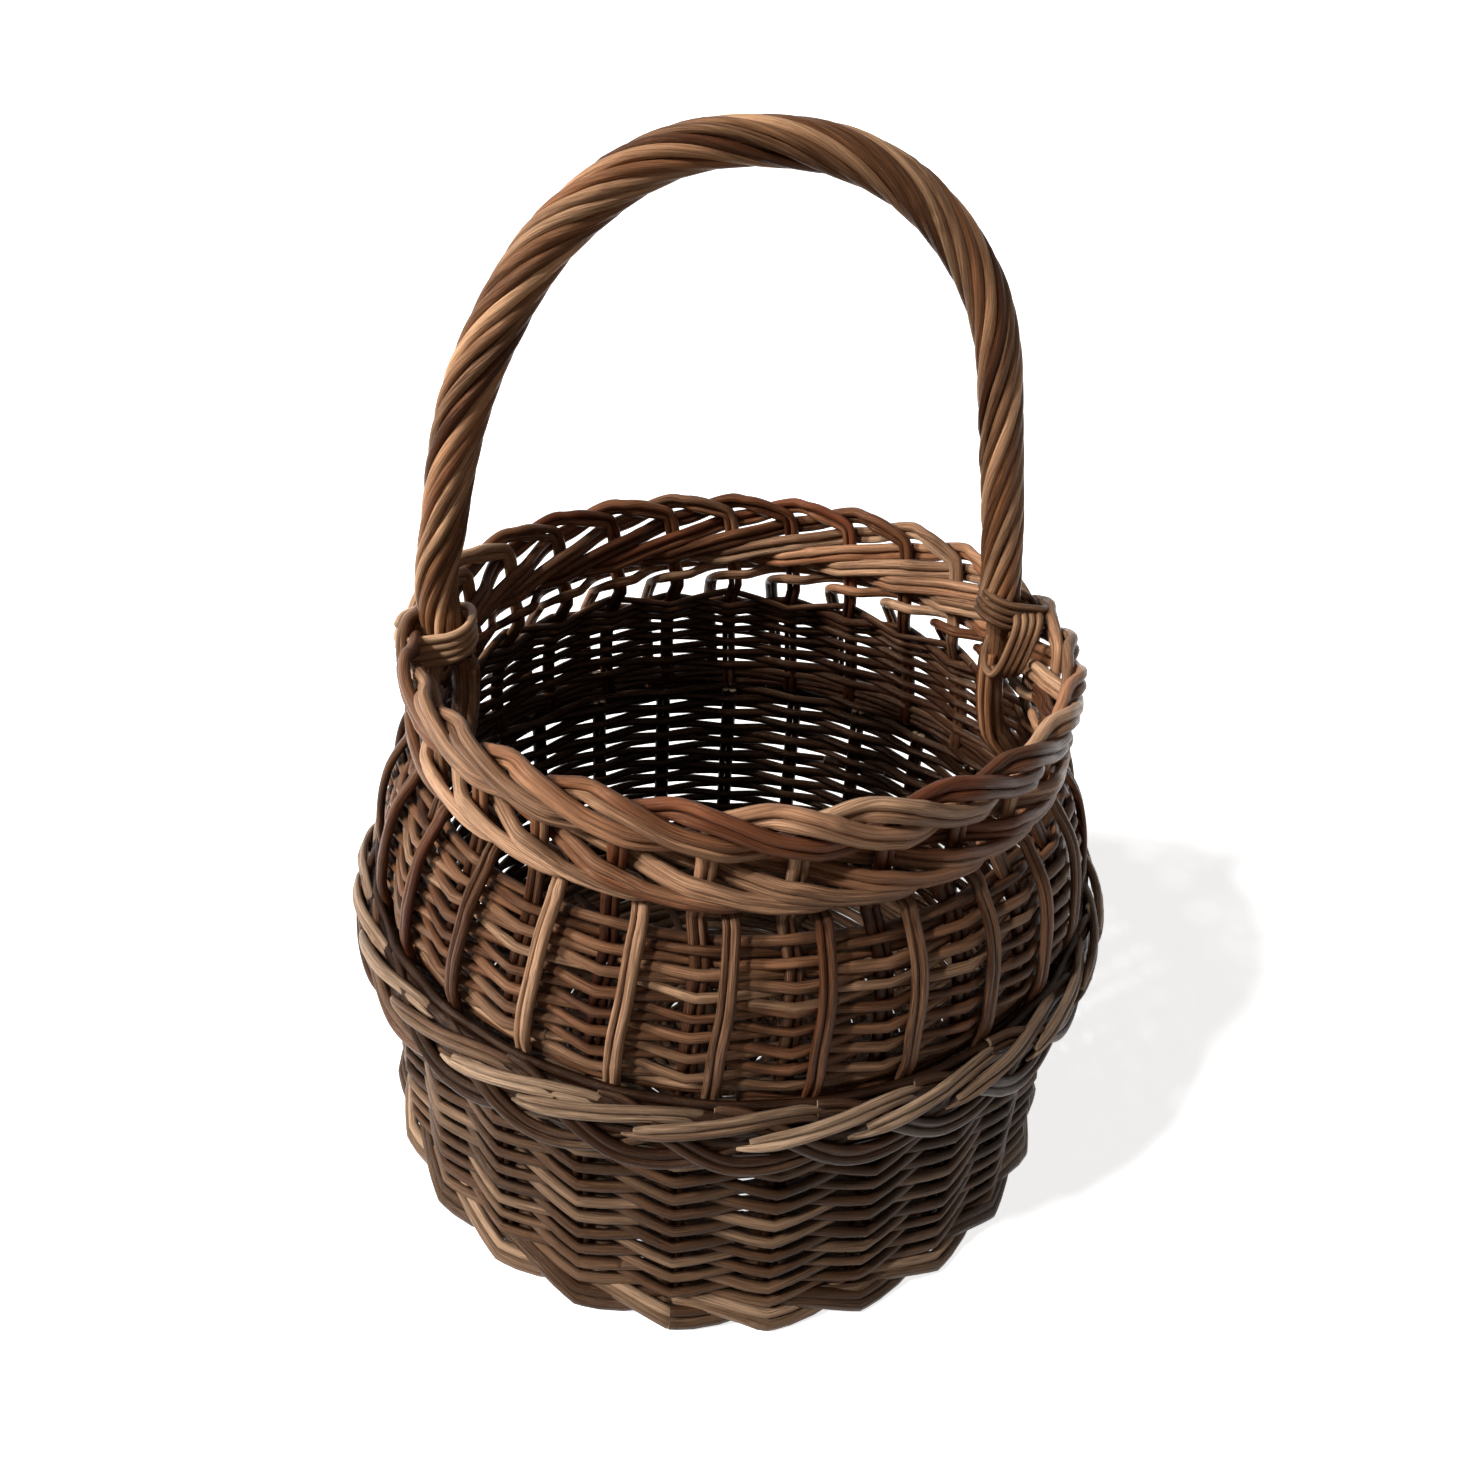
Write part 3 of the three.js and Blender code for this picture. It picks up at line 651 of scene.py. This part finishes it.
def weave_rows(rods, weave):
    """Plain weave as one spiral: out round one stake, in behind the next.

    The number of stakes is odd, so each row passes a stake on the other side than the row below.
    """
    rng = rods.rng
    total = int(weave.rows * weave.stakes)
    start = -weave.rows_below * weave.stakes
    while start < total - LEAST_PASSES:
        end = min(start + 2 * int(rng.integers(HALF_PASSES_LOW, HALF_PASSES_HIGH)) + 1, total)
        inside = (np.arange(start + 1, end)[:, None] + FRACTIONS).ravel()
        knots = np.concatenate([[start + ROD_START], inside, [end, end + ROD_END]])
        wave = zigzag(knots, ROD_ROUND_SHARE)
        count = len(knots)
        taper = np.linspace(BUTT_SHARE, TIP_SHARE, count) * rng.choice([1, -1])
        radius = weave.thick / 2 * (1 + taper + vary(count, *ROD_GIRTH_VARIES, rng))
        turns = knots / weave.stakes
        rows_left = np.minimum(turns + weave.rows_below + 1, weave.rows - turns)
        fade = np.clip(rows_left / FADE_ROWS, 0, 1)
        dip = weave.dip * fade * (1 + vary(count, *DIP_VARIES, rng))
        hang = dip * np.where(wave > 0, wave, weave.lift * wave)
        run = weave.first + weave.pitch * turns - hang + vary(count, *ROW_VARIES, rng)
        height = np.interp(run, profile_run, profile[:, 0])
        swing = (weave.depth - weave.thick) / 2 - np.abs(vary(count, *SWING_VARIES, rng))
        depth = weave.depth / 2 - wave * swing
        if weave.recessed:
            share = np.clip((height - RECESS_LOW) / (RECESS_HIGH - RECESS_LOW), 0, 1)
            depth = RECESS_DEPTH * (1 - share) + depth * share
        depth = np.maximum(depth, radius * LEAST_DEPTH_SHARE)
        spot, normal = wall(run, depth, weave.angle(knots, height))
        hue, light = WEAVE_TONE_LOW + WEAVE_TONE_RANGE * rng.random(2)
        path = raised(spot) if weave.recessed else spot
        # the rod's inner face gets painted shade
        rods.add(path, radius, normal, hue=hue, light=light, cut=WEAVE_CUT, inner=INNER_PAINTED_SHADE)
        start = end - 1 if (end - 1) % 2 == 1 else end


def add_lower_weave():
    rods = Rods("lower_weave", seed=11)
    weave_rows(rods, LOWER)
    runs = np.arange(run_at(LOWER_PAIR_LOW), run_at(LOWER_PAIR_HIGH), LOWER_PAIR_STEP)
    for k in range(LOWER.stakes):
        hue, light = rods.rng.random(2)
        stake_angle = LOWER.first_angle + k * TURN / LOWER.stakes
        for side, radius in LOWER_PAIR:
            angle = stake_angle + side * LOWER_PAIR_SPREAD / LOWER_PAIR_RADIUS
            depth = LOWER_PAIR_DEPTH + vary(len(runs), *LOWER_PAIR_VARIES, rods.rng)
            spot, normal = wall(runs, depth, np.full(len(runs), angle))
            # the stake's inner face gets painted shade
            rods.add(
                spot, radius, normal, hue=hue * LOWER_PAIR_HUE_SHARE,
                light=light * LOWER_PAIR_LIGHT_SHARE, inner=INNER_PAINTED_SHADE,
            )
    rods.build(lower_willow, ["lower_side_weave"])


def add_upper_weave():
    rods = Rods("upper_weave", seed=12)
    weave_rows(rods, UPPER)
    rods.build(body_willow, ["upper_side_weave"])


add_lower_weave()
add_upper_weave()


# ---------------------------------------------------------------- stake pairs

# The route of one pair, which every other pair repeats one stake further round. Its columns are
# the stakes passed, the height above the weave as a share of the neck's, the layer, which is 1
# outside the stakes and -1 inside them, and the share of a right angle by which the pair rolls
# over the rim.
ROUTE_SHARES = [
    (-0.1, 0.016, 0, 0), (-0.08, 0.25, 0, 0), (-0.02, 0.52, 0, 0), (0, 0.7, 0, 0),
    (0.03, 0.8, 0, 0), (0.1, 0.87, 0, 0), (0.3, 0.903, 0.02, 0.02), (0.6, 0.941, 0.1, 0.1),
    (0.8, 0.95, 0.56, 0.35), (1, 0.946, 0.98, 0.2), (1.3, 0.898, 1.12, 0.05), (1.65, 0.82, 1.1, 0),
    (2, 0.775, 1.05, 0), (2.2, 0.749, 0.85, 0), (2.5, 0.718, 0, 0), (2.8, 0.7, -0.85, 0),
    (3, 0.682, -1.05, 0), (3.5, 0.612, -1.05, 0), (4, 0.546, -1.05, 0), (4.15, 0.527, -0.88, 0),
    (4.5, 0.502, 0, 0), (4.8, 0.49, 0.88, 0), (5, 0.476, 1.05, 0), (5.5, 0.396, 1.05, 0),
    (6, 0.339, 1.05, 0), (6.3, 0.3, 0.8, 0), (6.55, 0.28, -0.2, 0), (6.73, 0.27, -0.95, 0),
    (7, 0.255, -1.02, 0), (7.14, 0.23, -0.9, 0), (7.24, 0.17, -0.35, 0), (7.28, 0.1, 0.4, 0),
    (7.3, 0.03, 1.05, 0), (7.3, -0.1, 1.15, 0), (7.28, -0.3, 1.1, 0), (7.22, -0.5, 1.08, 0),
    (7.2, -0.63, 1.08, 0), (7.19, -0.69, 0.95, 0), (7.18, -0.76, 0.7, 0), (7.17, -0.85, 0.62, 0),
    (7.16, -0.92, 0.6, 0),
]
ROUTE_STEP = 2.2
# Stakes passed, radius of the pair's thick rod and of its thin one
GIRTHS = [
    (-1, 1.9, 1.4), (0.1, 1.9, 1.45), (0.5, 2.15, 1.9), (4.5, 2.1, 1.9), (6.6, 1.8, 1.5),
    (7.4, 1.75, 1.2),
]
PAIR_SPREAD = 0.97
PAIR_SIDES = 10
PAIR_VARIES = (0.22, 9)
PAIR_SIZE_LOW, PAIR_SIZE_HIGH = 0.93, 1.06
# Rings that a rod may fall short at its end, less than this many
PAIR_TRIM = 3
# The part inside the wall: heights between which it runs, its step, and its depth by height
INSIDE_LOW, INSIDE_HIGH, INSIDE_STEP = 116.0, 160.0, 5.0
INSIDE_DEPTHS = [(0, 7.0), (123, 7.0), (130, 4.8), (165, 4.8)]
# Light and hue of a rod: the least, the range above it and the scatter
PAIR_LIGHT, PAIR_HUE = (0.2, 0.75, 0.15), (0.12, 0.7, 0.13)
# A stake gets painted shade inside the wall, up to the first height, and has its own light from the
# second on.
SHADE_HEIGHT, LIGHT_HEIGHT = 160, 176
INSIDE_PAINTED_SHADE = 0.45
# The end that runs down outside the shoulder is darker, from so many stakes passed on.
TAIL_TURN, TAIL_DARK = 7.05, 0.45


def stake_line(height):
    radius = np.interp(height, profile[:, 0], profile[:, 1])
    return np.where(height >= WEAVE_TOP, STAKE_RADIUS, radius - (profile[-1, 1] - STAKE_RADIUS))


def pair_route():
    """Centre line, facing and turn of a pair whose stake stands at angle zero."""
    turn, rise, layer, roll = np.array(ROUTE_SHARES, float).T
    flat = np.stack([turn * STAKE_ARC, WEAVE_TOP + rise * NECK_HEIGHT, layer * LAYER_STEP, roll], 1)
    arc, height, layer, roll = resample(spline(flat, per_span=16), ROUTE_STEP).T
    angle = arc / STAKE_RADIUS
    centre = around(angle, stake_line(height) + layer, height)
    roll = np.clip(roll, 0, 1) * math.pi / 2
    facing = outward(angle) * np.cos(roll)[:, None] + UP * np.sin(roll)[:, None]
    runs = np.arange(run_at(INSIDE_LOW), run_at(INSIDE_HIGH), INSIDE_STEP)
    heights = np.interp(runs, profile_run, profile[:, 0])
    below, normal = wall(runs, look_up(INSIDE_DEPTHS, heights), lean(heights) * STEP)
    centre = np.vstack([below, centre])
    facing = np.vstack([normal, facing])
    turn = np.concatenate([lean(heights), angle / STEP])
    return centre, facing, turn


def scattered(numbers, value, rng):
    """The least, the value's part of the range and the scatter together, as a share."""
    least, span, scatter = numbers
    return share_of(least + span * value + rng.normal(0, scatter))


def add_stake_pairs():
    centre, facing, turn = pair_route()
    along = unit(np.gradient(centre, axis=0))
    across = unit(np.cross(along, facing))
    out = np.cross(across, along)
    thick = look_up(GIRTHS, turn, column=1)
    thin = look_up(GIRTHS, turn, column=2)
    for k in range(STAKES):
        rods = Rods(f"pair_{k + 1:02d}", seed=100 + k)
        rng = rods.rng
        angle = FIRST_ANGLE + k * STEP
        hue, light = rng.random(), rng.random()
        for sign, radius, other in ((-1, thick, thin), (1, thin, thick)):
            offset = sign * PAIR_SPREAD * other
            wobble = vary(len(centre), *PAIR_VARIES, rng)
            line = centre + across * offset[:, None] + out * wobble[:, None]
            size = radius * rng.uniform(PAIR_SIZE_LOW, PAIR_SIZE_HIGH)
            keep = slice(0, len(line) - int(rng.integers(0, PAIR_TRIM)))
            tint = scattered(PAIR_LIGHT, light, rng)
            bare = np.interp(line[:, 2], [SHADE_HEIGHT, LIGHT_HEIGHT], [0, 1])
            # painted shade on the stake where it runs inside the weave
            stake = tint * bare - INSIDE_PAINTED_SHADE * (1 - bare)
            glow = np.where(turn < 1, stake, tint) - TAIL_DARK * (turn > TAIL_TURN)
            rods.add(
                raised(spin(line, angle))[keep], size[keep], spin(facing, angle)[keep],
                sides=PAIR_SIDES, hue=scattered(PAIR_HUE, hue, rng), light=glow[keep],
            )
        rods.build(neck_willow, [f"stake_pair_{k + 1:02d}"])


add_stake_pairs()


# ---------------------------------------------------------------- waist band

BAND_STROKES = 26
BAND_STEP = TURN / BAND_STROKES
BAND_FIRST_ANGLE = math.radians(-10.93)
BAND_RADIUS = 150
# The band rises a little from left to right.
BAND_TILT = 1.6
# Rods behind the plait, given the darkest tone as painted shade in its gaps: radius, height, radius
# of the rod. They ripple with the strokes.
BAND_RINGS = [
    (144.0, 103.5, 2.5), (144.6, 108.0, 2.5), (144.2, 112.6, 2.5), (143.0, 116.8, 2.3),
    (141.4, 120.6, 1.7),
]
RING_RIPPLE_OUT, RING_RIPPLE_UP = 0.6, 0.5
# Rings of points on a rod that goes right round
ROUND_POINTS = 109
# The route of a light pair of rods: turn from its tip in strokes, height, radius
LIGHT_ROUTE = [
    (0, 111.4, 149.6), (0.2, 113.0, 150.1), (0.6, 115.9, 149.6), (0.95, 117.8, 148.3),
    (1.25, 118.6, 146.5), (1.55, 118.3, 144.8), (1.8, 116.5, 143.6),
]
# The same of a brown pair, on the same count
BROWN_ROUTE = [
    (-1.25, 118.5, 143.0), (-1.0, 118.4, 144.4), (-0.75, 115.4, 146.8), (-0.5, 110.6, 148.6),
    (-0.25, 104.8, 149.2), (0, 100.8, 149.0), (0.3, 99.8, 148.2), (0.6, 101.4, 147.0),
    (0.9, 105.2, 145.8), (1.15, 109.2, 144.4), (1.4, 112.5, 143.4),
]
# Route, radius of a rod, distance of the two, range of hue, range of light, whether the tips show
BAND_PAIRS = [
    (BROWN_ROUTE, 1.7, 3.3, (0.0, 0.45), (0.0, 0.7), False),
    (LIGHT_ROUTE, 1.5, 2.85, (0.6, 1.0), (0.35, 1.0), True),
]
BAND_ROUTE_STEP = 2.4
# Scatter of a pair round the basket, in radians, and up and down; scatter of its rods' colour
STROKE_SHIFT, STROKE_RISE = 0.012, 0.5
BAND_HUE_SCATTER, BAND_LIGHT_SCATTER = 0.1, 0.15
BAND_SIZE_LOW, BAND_SIZE_HIGH = 0.88, 1.1
BAND_VARIES = (0.2, 6)
BAND_SIDES = 10
BAND_CUT = (0.5, 1.0)
# The pair looks up a little.
BAND_LOOK_UP = 0.35
# By ring from a tip: share of the pair's spread, and share of the rod's girth
TIP_SPREADS = [(0, 0.5), (5, 1)]
TIP_GIRTHS = [(0, 0.35), (1, 0.6), (3, 0.85), (6, 1)]
# Rings by which the lower rod of a pair falls short: the least, and less than this many
TIP_TRIM_LOW, TIP_TRIM_HIGH = 1, 4


def add_band():
    rods = Rods("band", seed=31)
    rng = rods.rng
    for radius, height, girth in BAND_RINGS:
        angle = np.linspace(math.pi, math.pi + TURN, ROUND_POINTS)
        ripple = np.cos(BAND_STROKES * angle)
        ring = around(angle, radius + RING_RIPPLE_OUT * ripple, height + RING_RIPPLE_UP * ripple)
        # darkest hue and light: painted shade behind the plait
        rods.add(ring, girth, outward(angle), hue=0.0, light=0.0)
    for route, girth, spread, hues, lights, tip in BAND_PAIRS:
        stroke = np.array(route, float) * [BAND_RADIUS * BAND_STEP, 1, 1]
        rows = resample(spline(stroke, per_span=12), BAND_ROUTE_STEP)
        rank = np.arange(len(rows))
        for k in range(BAND_STROKES):
            shift = rng.normal(0, STROKE_SHIFT)
            angle = BAND_FIRST_ANGLE + k * BAND_STEP + shift + rows[:, 0] / BAND_RADIUS
            height = rows[:, 1] + BAND_TILT * np.sin(angle) + rng.normal(0, STROKE_RISE)
            centre = around(angle, rows[:, 2], height)
            facing = unit(outward(angle) + UP * BAND_LOOK_UP)
            along = unit(np.gradient(centre, axis=0))
            across = unit(np.cross(along, facing))
            hue, light = rng.uniform(*hues), rng.uniform(*lights)
            for sign in (-1, 1):
                squeeze = look_up(TIP_SPREADS, rank) if tip else np.ones(len(rows))
                line = centre + across * (sign * spread / 2 * squeeze)[:, None]
                line = line + facing * vary(len(rows), *BAND_VARIES, rng)[:, None]
                size = girth * rng.uniform(BAND_SIZE_LOW, BAND_SIZE_HIGH) * np.ones(len(rows))
                first = 0
                if tip:
                    size *= look_up(TIP_GIRTHS, rank)
                    first = 0 if sign > 0 else int(rng.integers(TIP_TRIM_LOW, TIP_TRIM_HIGH))
                rods.add(
                    line[first:], size[first:], facing[first:], sides=BAND_SIDES,
                    hue=share_of(hue + rng.normal(0, BAND_HUE_SCATTER)),
                    light=share_of(light + rng.normal(0, BAND_LIGHT_SCATTER)), cut=BAND_CUT,
                )
    rods.build(band_willow, ["waist_band"])


add_band()


# ---------------------------------------------------------------- base

# Rows of pairing at the foot: middle height, a rod's thickness, outer radius, swing, how far the
# two rods part between stakes, how far they dip at a stake
FOOT_ROWS = [(6.3, 5.6, 145.2, 3.1, 2.4, 3.0), (10.4, 4.1, 143.4, 3.1, 1.7, 2.4)]
# Share of a cosine in the way of a rod in and out
FOOT_ROUND_SHARE = 0.15
FOOT_VARIES = (0.06, 8)
FOOT_SIDES = 10
FLOOR_GAP = 0.05

BASE_SPIN = math.radians(8)
BASE_LEVEL = 5.9
# The cross: four sticks through four. Levels of the two bundles, and their sizes.
STICK_LEVELS = (4.6, 7.4)
STICKS = 4
STICK_LENGTH, STICK_RADIUS, STICK_SPACING, STICK_STEP = 119.0, 3.05, 6.2, 5
SPOKES = 16
# Places along a stick, as shares of its half length
STICK_SHARES = (-1.0, -0.75, -0.5, -0.3, -0.18, -0.09, 0, 0.09, 0.18, 0.3, 0.5, 0.75, 1.0)
# The sticks fan out from this share on, at this rate, and level out at a higher one.
FAN_START, FAN_RATE, LEVEL_RATE = 0.14, 2.2, 3

BASE_ROW_FIRST, BASE_ROW_LAST, BASE_ROW_PITCH = 14.7, 136, 3.6
BASE_ROW_THICK, BASE_ROW_WAVE = 4.5, 1.2
BASE_ROW_VARIES = (0.3, 9)
BASE_ROW_SIDES = 6
POINTS_PER_SPOKE = 6
# Rods in the corner between base and wall: radius, height
CORNER_RODS = [(134.2, 3.4), (130.5, 3.2)]
CORNER_ROD_RADIUS = 2.9


def add_foot():
    """Two rows of pairing. In each, two rods take turns in front and cross between the stakes."""
    rods = Rods("foot_wale", seed=41)
    rng = rods.rng
    for middle, thick, outer, swing, cross, dip in FOOT_ROWS:
        for part in range(2):
            stakes = np.arange(part * LOWER_STAKES, (part + 1) * LOWER_STAKES)
            knots = (stakes[:, None] + FRACTIONS).ravel()
            knots = np.append(knots, knots[-1] + 1 - FRACTIONS[-1])
            wave = zigzag(knots, FOOT_ROUND_SHARE)
            depth = thick / 2 + (1 - wave) * swing
            height = middle - cross * np.sin(np.pi * knots) - dip * wave
            height = np.maximum(height, thick / 2 + FLOOR_GAP)
            angle = LOWER_FIRST_ANGLE + knots * TURN / LOWER_STAKES
            size = thick / 2 * (1 - np.abs(vary(len(knots), *FOOT_VARIES, rng)))
            rods.add(around(angle, outer - depth, height), size, outward(angle), sides=FOOT_SIDES)
    rods.build(lower_willow, ["base_foot_wale"])


def stick_path(splay, offset, level):
    """A stick that lies beside its neighbours in the middle and fans out from them to both ends."""
    rows = []
    for s in STICK_SHARES:
        share = max(0.0, (abs(s) - FAN_START) / (1 - FAN_START))
        reach = STICK_LENGTH * abs(s)
        straight = np.array([s * STICK_LENGTH, offset])
        fan = np.array([math.copysign(reach * math.cos(splay), s), reach * math.sin(splay)])
        mix = min(1.0, share * FAN_RATE)
        point = straight * (1 - mix) + fan * mix
        rows.append((*point, level + (BASE_LEVEL - level) * min(1.0, share * LEVEL_RATE)))
    return resample(spline(rows, per_span=8), STICK_STEP)


def add_sticks():
    sticks = Rods("cross_sticks", seed=42)
    for bundle, level in enumerate(STICK_LEVELS):
        for i in range(STICKS):
            place = i - (STICKS - 1) / 2
            path = stick_path(place * TURN / SPOKES, place * STICK_SPACING, level)
            if bundle:
                path = path[:, [1, 0, 2]]
            sticks.add(spin(path, BASE_SPIN), STICK_RADIUS, repeat(UP, len(path)))
    sticks.build(base_willow, ["base_stick_cross"])


def add_base_rows():
    rods = Rods("base_rows", seed=43)
    count = SPOKES * POINTS_PER_SPOKE
    knots = np.arange(count + 1)
    angle = BASE_SPIN + knots * TURN / count
    ring, radius = 0, BASE_ROW_FIRST
    while radius < BASE_ROW_LAST:
        wave = np.cos(knots * math.pi / POINTS_PER_SPOKE + math.pi * ring)
        wander = vary(count + 1, *BASE_ROW_VARIES, rods.rng)
        spot = around(angle, radius + wander, BASE_LEVEL + wave * BASE_ROW_WAVE)
        spot[-1] = spot[0]
        rods.add(spot, BASE_ROW_THICK / 2, repeat(UP, count + 1), sides=BASE_ROW_SIDES)
        radius += BASE_ROW_PITCH
        ring += 1
    for radius, height in CORNER_RODS:
        angle = np.linspace(0, TURN, ROUND_POINTS)
        rods.add(around(angle, radius, height), CORNER_ROD_RADIUS, outward(angle))
    rods.build(base_willow, ["base_weave"])


add_foot()
add_sticks()
add_base_rows()


# ---------------------------------------------------------------- handle

FOOT_RADIUS = 102.8
# The feet stand at the sixth stake to the left and the eighth to the right.
LEFT_ANGLE = FIRST_ANGLE - 6 * STEP
RIGHT_ANGLE = FIRST_ANGLE + 8 * STEP
ARCH_BASE = 205.0
ARCH_RISE = 175.6
ARCH_POWER = 2.3
ARCH_POINTS = 160
# The smooth line of the handle goes through every fourth of them, and its core leaves out the
# first and last two points of that line.
ARCH_EVERY, CORE_GAP = 4, 2
# Sideways shift of the arch, by share of the way round it
ARCH_SHIFTS = [
    (0, -3.0), (0.035, -9.0), (0.08, -6.2), (0.17, -4.8), (0.23, -2.8), (0.3, -1.8), (0.36, 0),
    (0.5, 0), (0.62, 1.2), (0.74, 1.6), (0.79, 0), (0.84, -2.9), (0.89, -4.0), (0.95, -2.6), (1, 0),
]
# By share of the way round: radius of the whole handle, and of one of its rods
HANDLE_GIRTHS = [
    (0, 7.6), (0.03, 7.9), (0.08, 7.8), (0.14, 8.3), (0.22, 9.1), (0.35, 8.5), (0.5, 7.5),
    (0.8, 8.0), (1, 7.9),
]
STRAND_GIRTHS = [(0, 1.65), (0.06, 1.95), (0.16, 2.3), (0.5, 1.92), (0.9, 2.05), (1, 1.85)]
STRANDS = 10
STRAND_SIZE_LOW, STRAND_SIZE_HIGH = 0.88, 1.12
STRAND_VARIES = (0.05, 14)
STRAND_SIDES = 10
# Length in which the rods go once round the core
TWIST_LENGTH = 118.0
ARCH_STEP = 3.0
CORE_RADIUS = 4.6
CORE_STEP = 4.0
# The legs that run down inside the wall: height, radius
LEG_LINE = [
    (140.0, 122.6), (152, 118.2), (163, 109.5), (172, 106.6), (182, 104.6), (192, 103.4),
    (203, 102.9),
]
# The rods that go down with each leg: their number, distance and radius, the depth of the middle
# one inside the leg's line, how much less deep each further one lies, and their drop
LEG_RODS, LEG_ROD_SPACING, LEG_ROD_RADIUS = 5, 2.3, 1.5
LEG_ROD_DEPTH, LEG_ROD_CURVE, LEG_ROD_DROP = 4.0, 0.5, 2.0
# Steps by which such a rod may end higher, less than this many
LEG_ROD_TRIM = 5


def arch_line():
    left, right = around(LEFT_ANGLE, FOOT_RADIUS, 0.0), around(RIGHT_ANGLE, FOOT_RADIUS, 0.0)
    turn = np.linspace(0, math.pi, ARCH_POINTS)
    reach = np.sign(np.cos(turn)) * np.abs(np.cos(turn)) ** (2 / ARCH_POWER)
    path = (left + right) / 2 - (right - left) / 2 * reach[:, None]
    path[:, 2] = ARCH_BASE + ARCH_RISE * np.abs(np.sin(turn)) ** (2 / ARCH_POWER)
    path[:, 0] += look_up(spline(ARCH_SHIFTS, per_span=6), turn / math.pi)
    return path


def leg_line(angle):
    heights, radius = np.array(LEG_LINE, float).T
    return around(angle, radius, heights)


def add_handle():
    left, right = around(LEFT_ANGLE, FOOT_RADIUS, 0.0), around(RIGHT_ANGLE, FOOT_RADIUS, 0.0)
    span = unit(right - left)
    level = np.array([-span[1], span[0], 0.0])
    arch = resample(spline(arch_line()[::ARCH_EVERY], per_span=8), ARCH_STEP)
    run = lengths(arch)
    share = run / run[-1]
    along = unit(np.gradient(arch, axis=0))
    side = unit(np.cross(along, level))
    ropes = Rods("roping", seed=51)
    rng = ropes.rng
    twist = TURN * run / TWIST_LENGTH
    for k in range(STRANDS):
        size = look_up(STRAND_GIRTHS, share) * rng.uniform(STRAND_SIZE_LOW, STRAND_SIZE_HIGH)
        turn = twist + k * TURN / STRANDS + vary(len(arch), *STRAND_VARIES, rng)
        ray = side * np.cos(turn)[:, None] - level * np.sin(turn)[:, None]
        line = arch + ray * (look_up(HANDLE_GIRTHS, share) - size)[:, None]
        ropes.add(line, size, ray, sides=STRAND_SIDES)
    ropes.build(bow_willow, ["handle_roping"])

    core = Rods("bow_core", seed=52)
    legs = [leg_line(LEFT_ANGLE), leg_line(RIGHT_ANGLE)]
    whole = resample(np.vstack([legs[0], arch[CORE_GAP:-CORE_GAP], legs[1][::-1]]), CORE_STEP)
    core.add(whole, CORE_RADIUS, repeat(level, len(whole)))
    for angle, leg in zip((LEFT_ANGLE, RIGHT_ANGLE), legs):
        ray = outward(angle)
        path = resample(spline(leg, per_span=6), CORE_STEP)
        for j in range(LEG_RODS):
            place = j - LEG_RODS // 2
            depth = LEG_ROD_DEPTH - LEG_ROD_CURVE * abs(place)
            beside = path + sideways(angle) * (place * LEG_ROD_SPACING)
            line = beside - ray * depth - UP * LEG_ROD_DROP
            low = int(rng.integers(0, LEG_ROD_TRIM))
            core.add(line[low:], LEG_ROD_RADIUS, repeat(ray, len(line) - low), cut=(0, 0))
    core.build(bow_willow, ["handle_core"])


add_handle()


# ---------------------------------------------------------------- lashings

LASH_LOOPS = 4
LASH_STEPS = 28
LASH_VARIES = (0.25, 9)
# Power of the sine and cosine that gives a loop its round corners
LOOP_POWER = 2 / 3
# Windings round the feet: centre's radius and height, half widths out and sideways, pitch, radius
# of the rod, drop
LEFT_LASH = (112.2, 208.0, 13.4, 11.2, 3.1, 1.55, 2.6)
RIGHT_LASH = (106.6, 213.0, 12.2, 9.9, 3.0, 1.45, 3.6)
# The right foot's second winding lies upright in front of it, and climbs outwards: centre's radius
# and height, half widths up, out and sideways, pitch, radius of the rod
FRONT_LASH = (98.5, 208.5, 12.5, 2.6, 7.5, 3.1, 1.5)
FRONT_LASH_TURN = math.radians(4.5)


def squared(value):
    return (np.sign(value) * np.abs(value) ** LOOP_POWER)[:, None]


def winding(rods, centre, across, along, rise, pitch, girth, drop=0.0):
    """A coil whose half widths are the vectors across and along, and which climbs along rise.

    Its loops hang lower by twice the drop on the side that across points to.
    """
    k = np.arange(LASH_LOOPS * LASH_STEPS + 1)
    turn = TURN * k / LASH_STEPS
    climb = pitch * k / LASH_STEPS - drop * np.cos(turn) + vary(len(k), *LASH_VARIES, rods.rng)
    climbed = rise * climb[:, None]
    path = centre + across * squared(np.cos(turn)) + along * squared(np.sin(turn)) + climbed
    rods.add(path, girth, unit(path - (centre + climbed)))


def lash_round(rods, foot_angle, sizes):
    """A winding round a foot of the handle and the rim."""
    radius, height, out, wide, pitch, girth, drop = sizes
    ray, side = outward(foot_angle), sideways(foot_angle)
    winding(rods, ray * radius + UP * height, ray * out, side * wide, UP, pitch, girth, drop)


def add_lashings():
    left = Rods("left_tie", seed=61)
    lash_round(left, LEFT_ANGLE, LEFT_LASH)
    left.build(tie_willow, ["left_lashing"])

    right = Rods("right_tie", seed=62)
    lash_round(right, RIGHT_ANGLE, RIGHT_LASH)
    front = RIGHT_ANGLE - FRONT_LASH_TURN
    radius, height, tall, out, wide, pitch, girth = FRONT_LASH
    ray, side = outward(front), sideways(front)
    centre, across = ray * radius + UP * height, UP * tall + ray * out
    winding(right, centre, across, side * wide, ray, pitch, girth)
    right.build(tie_willow, ["right_lashing"])


add_lashings()
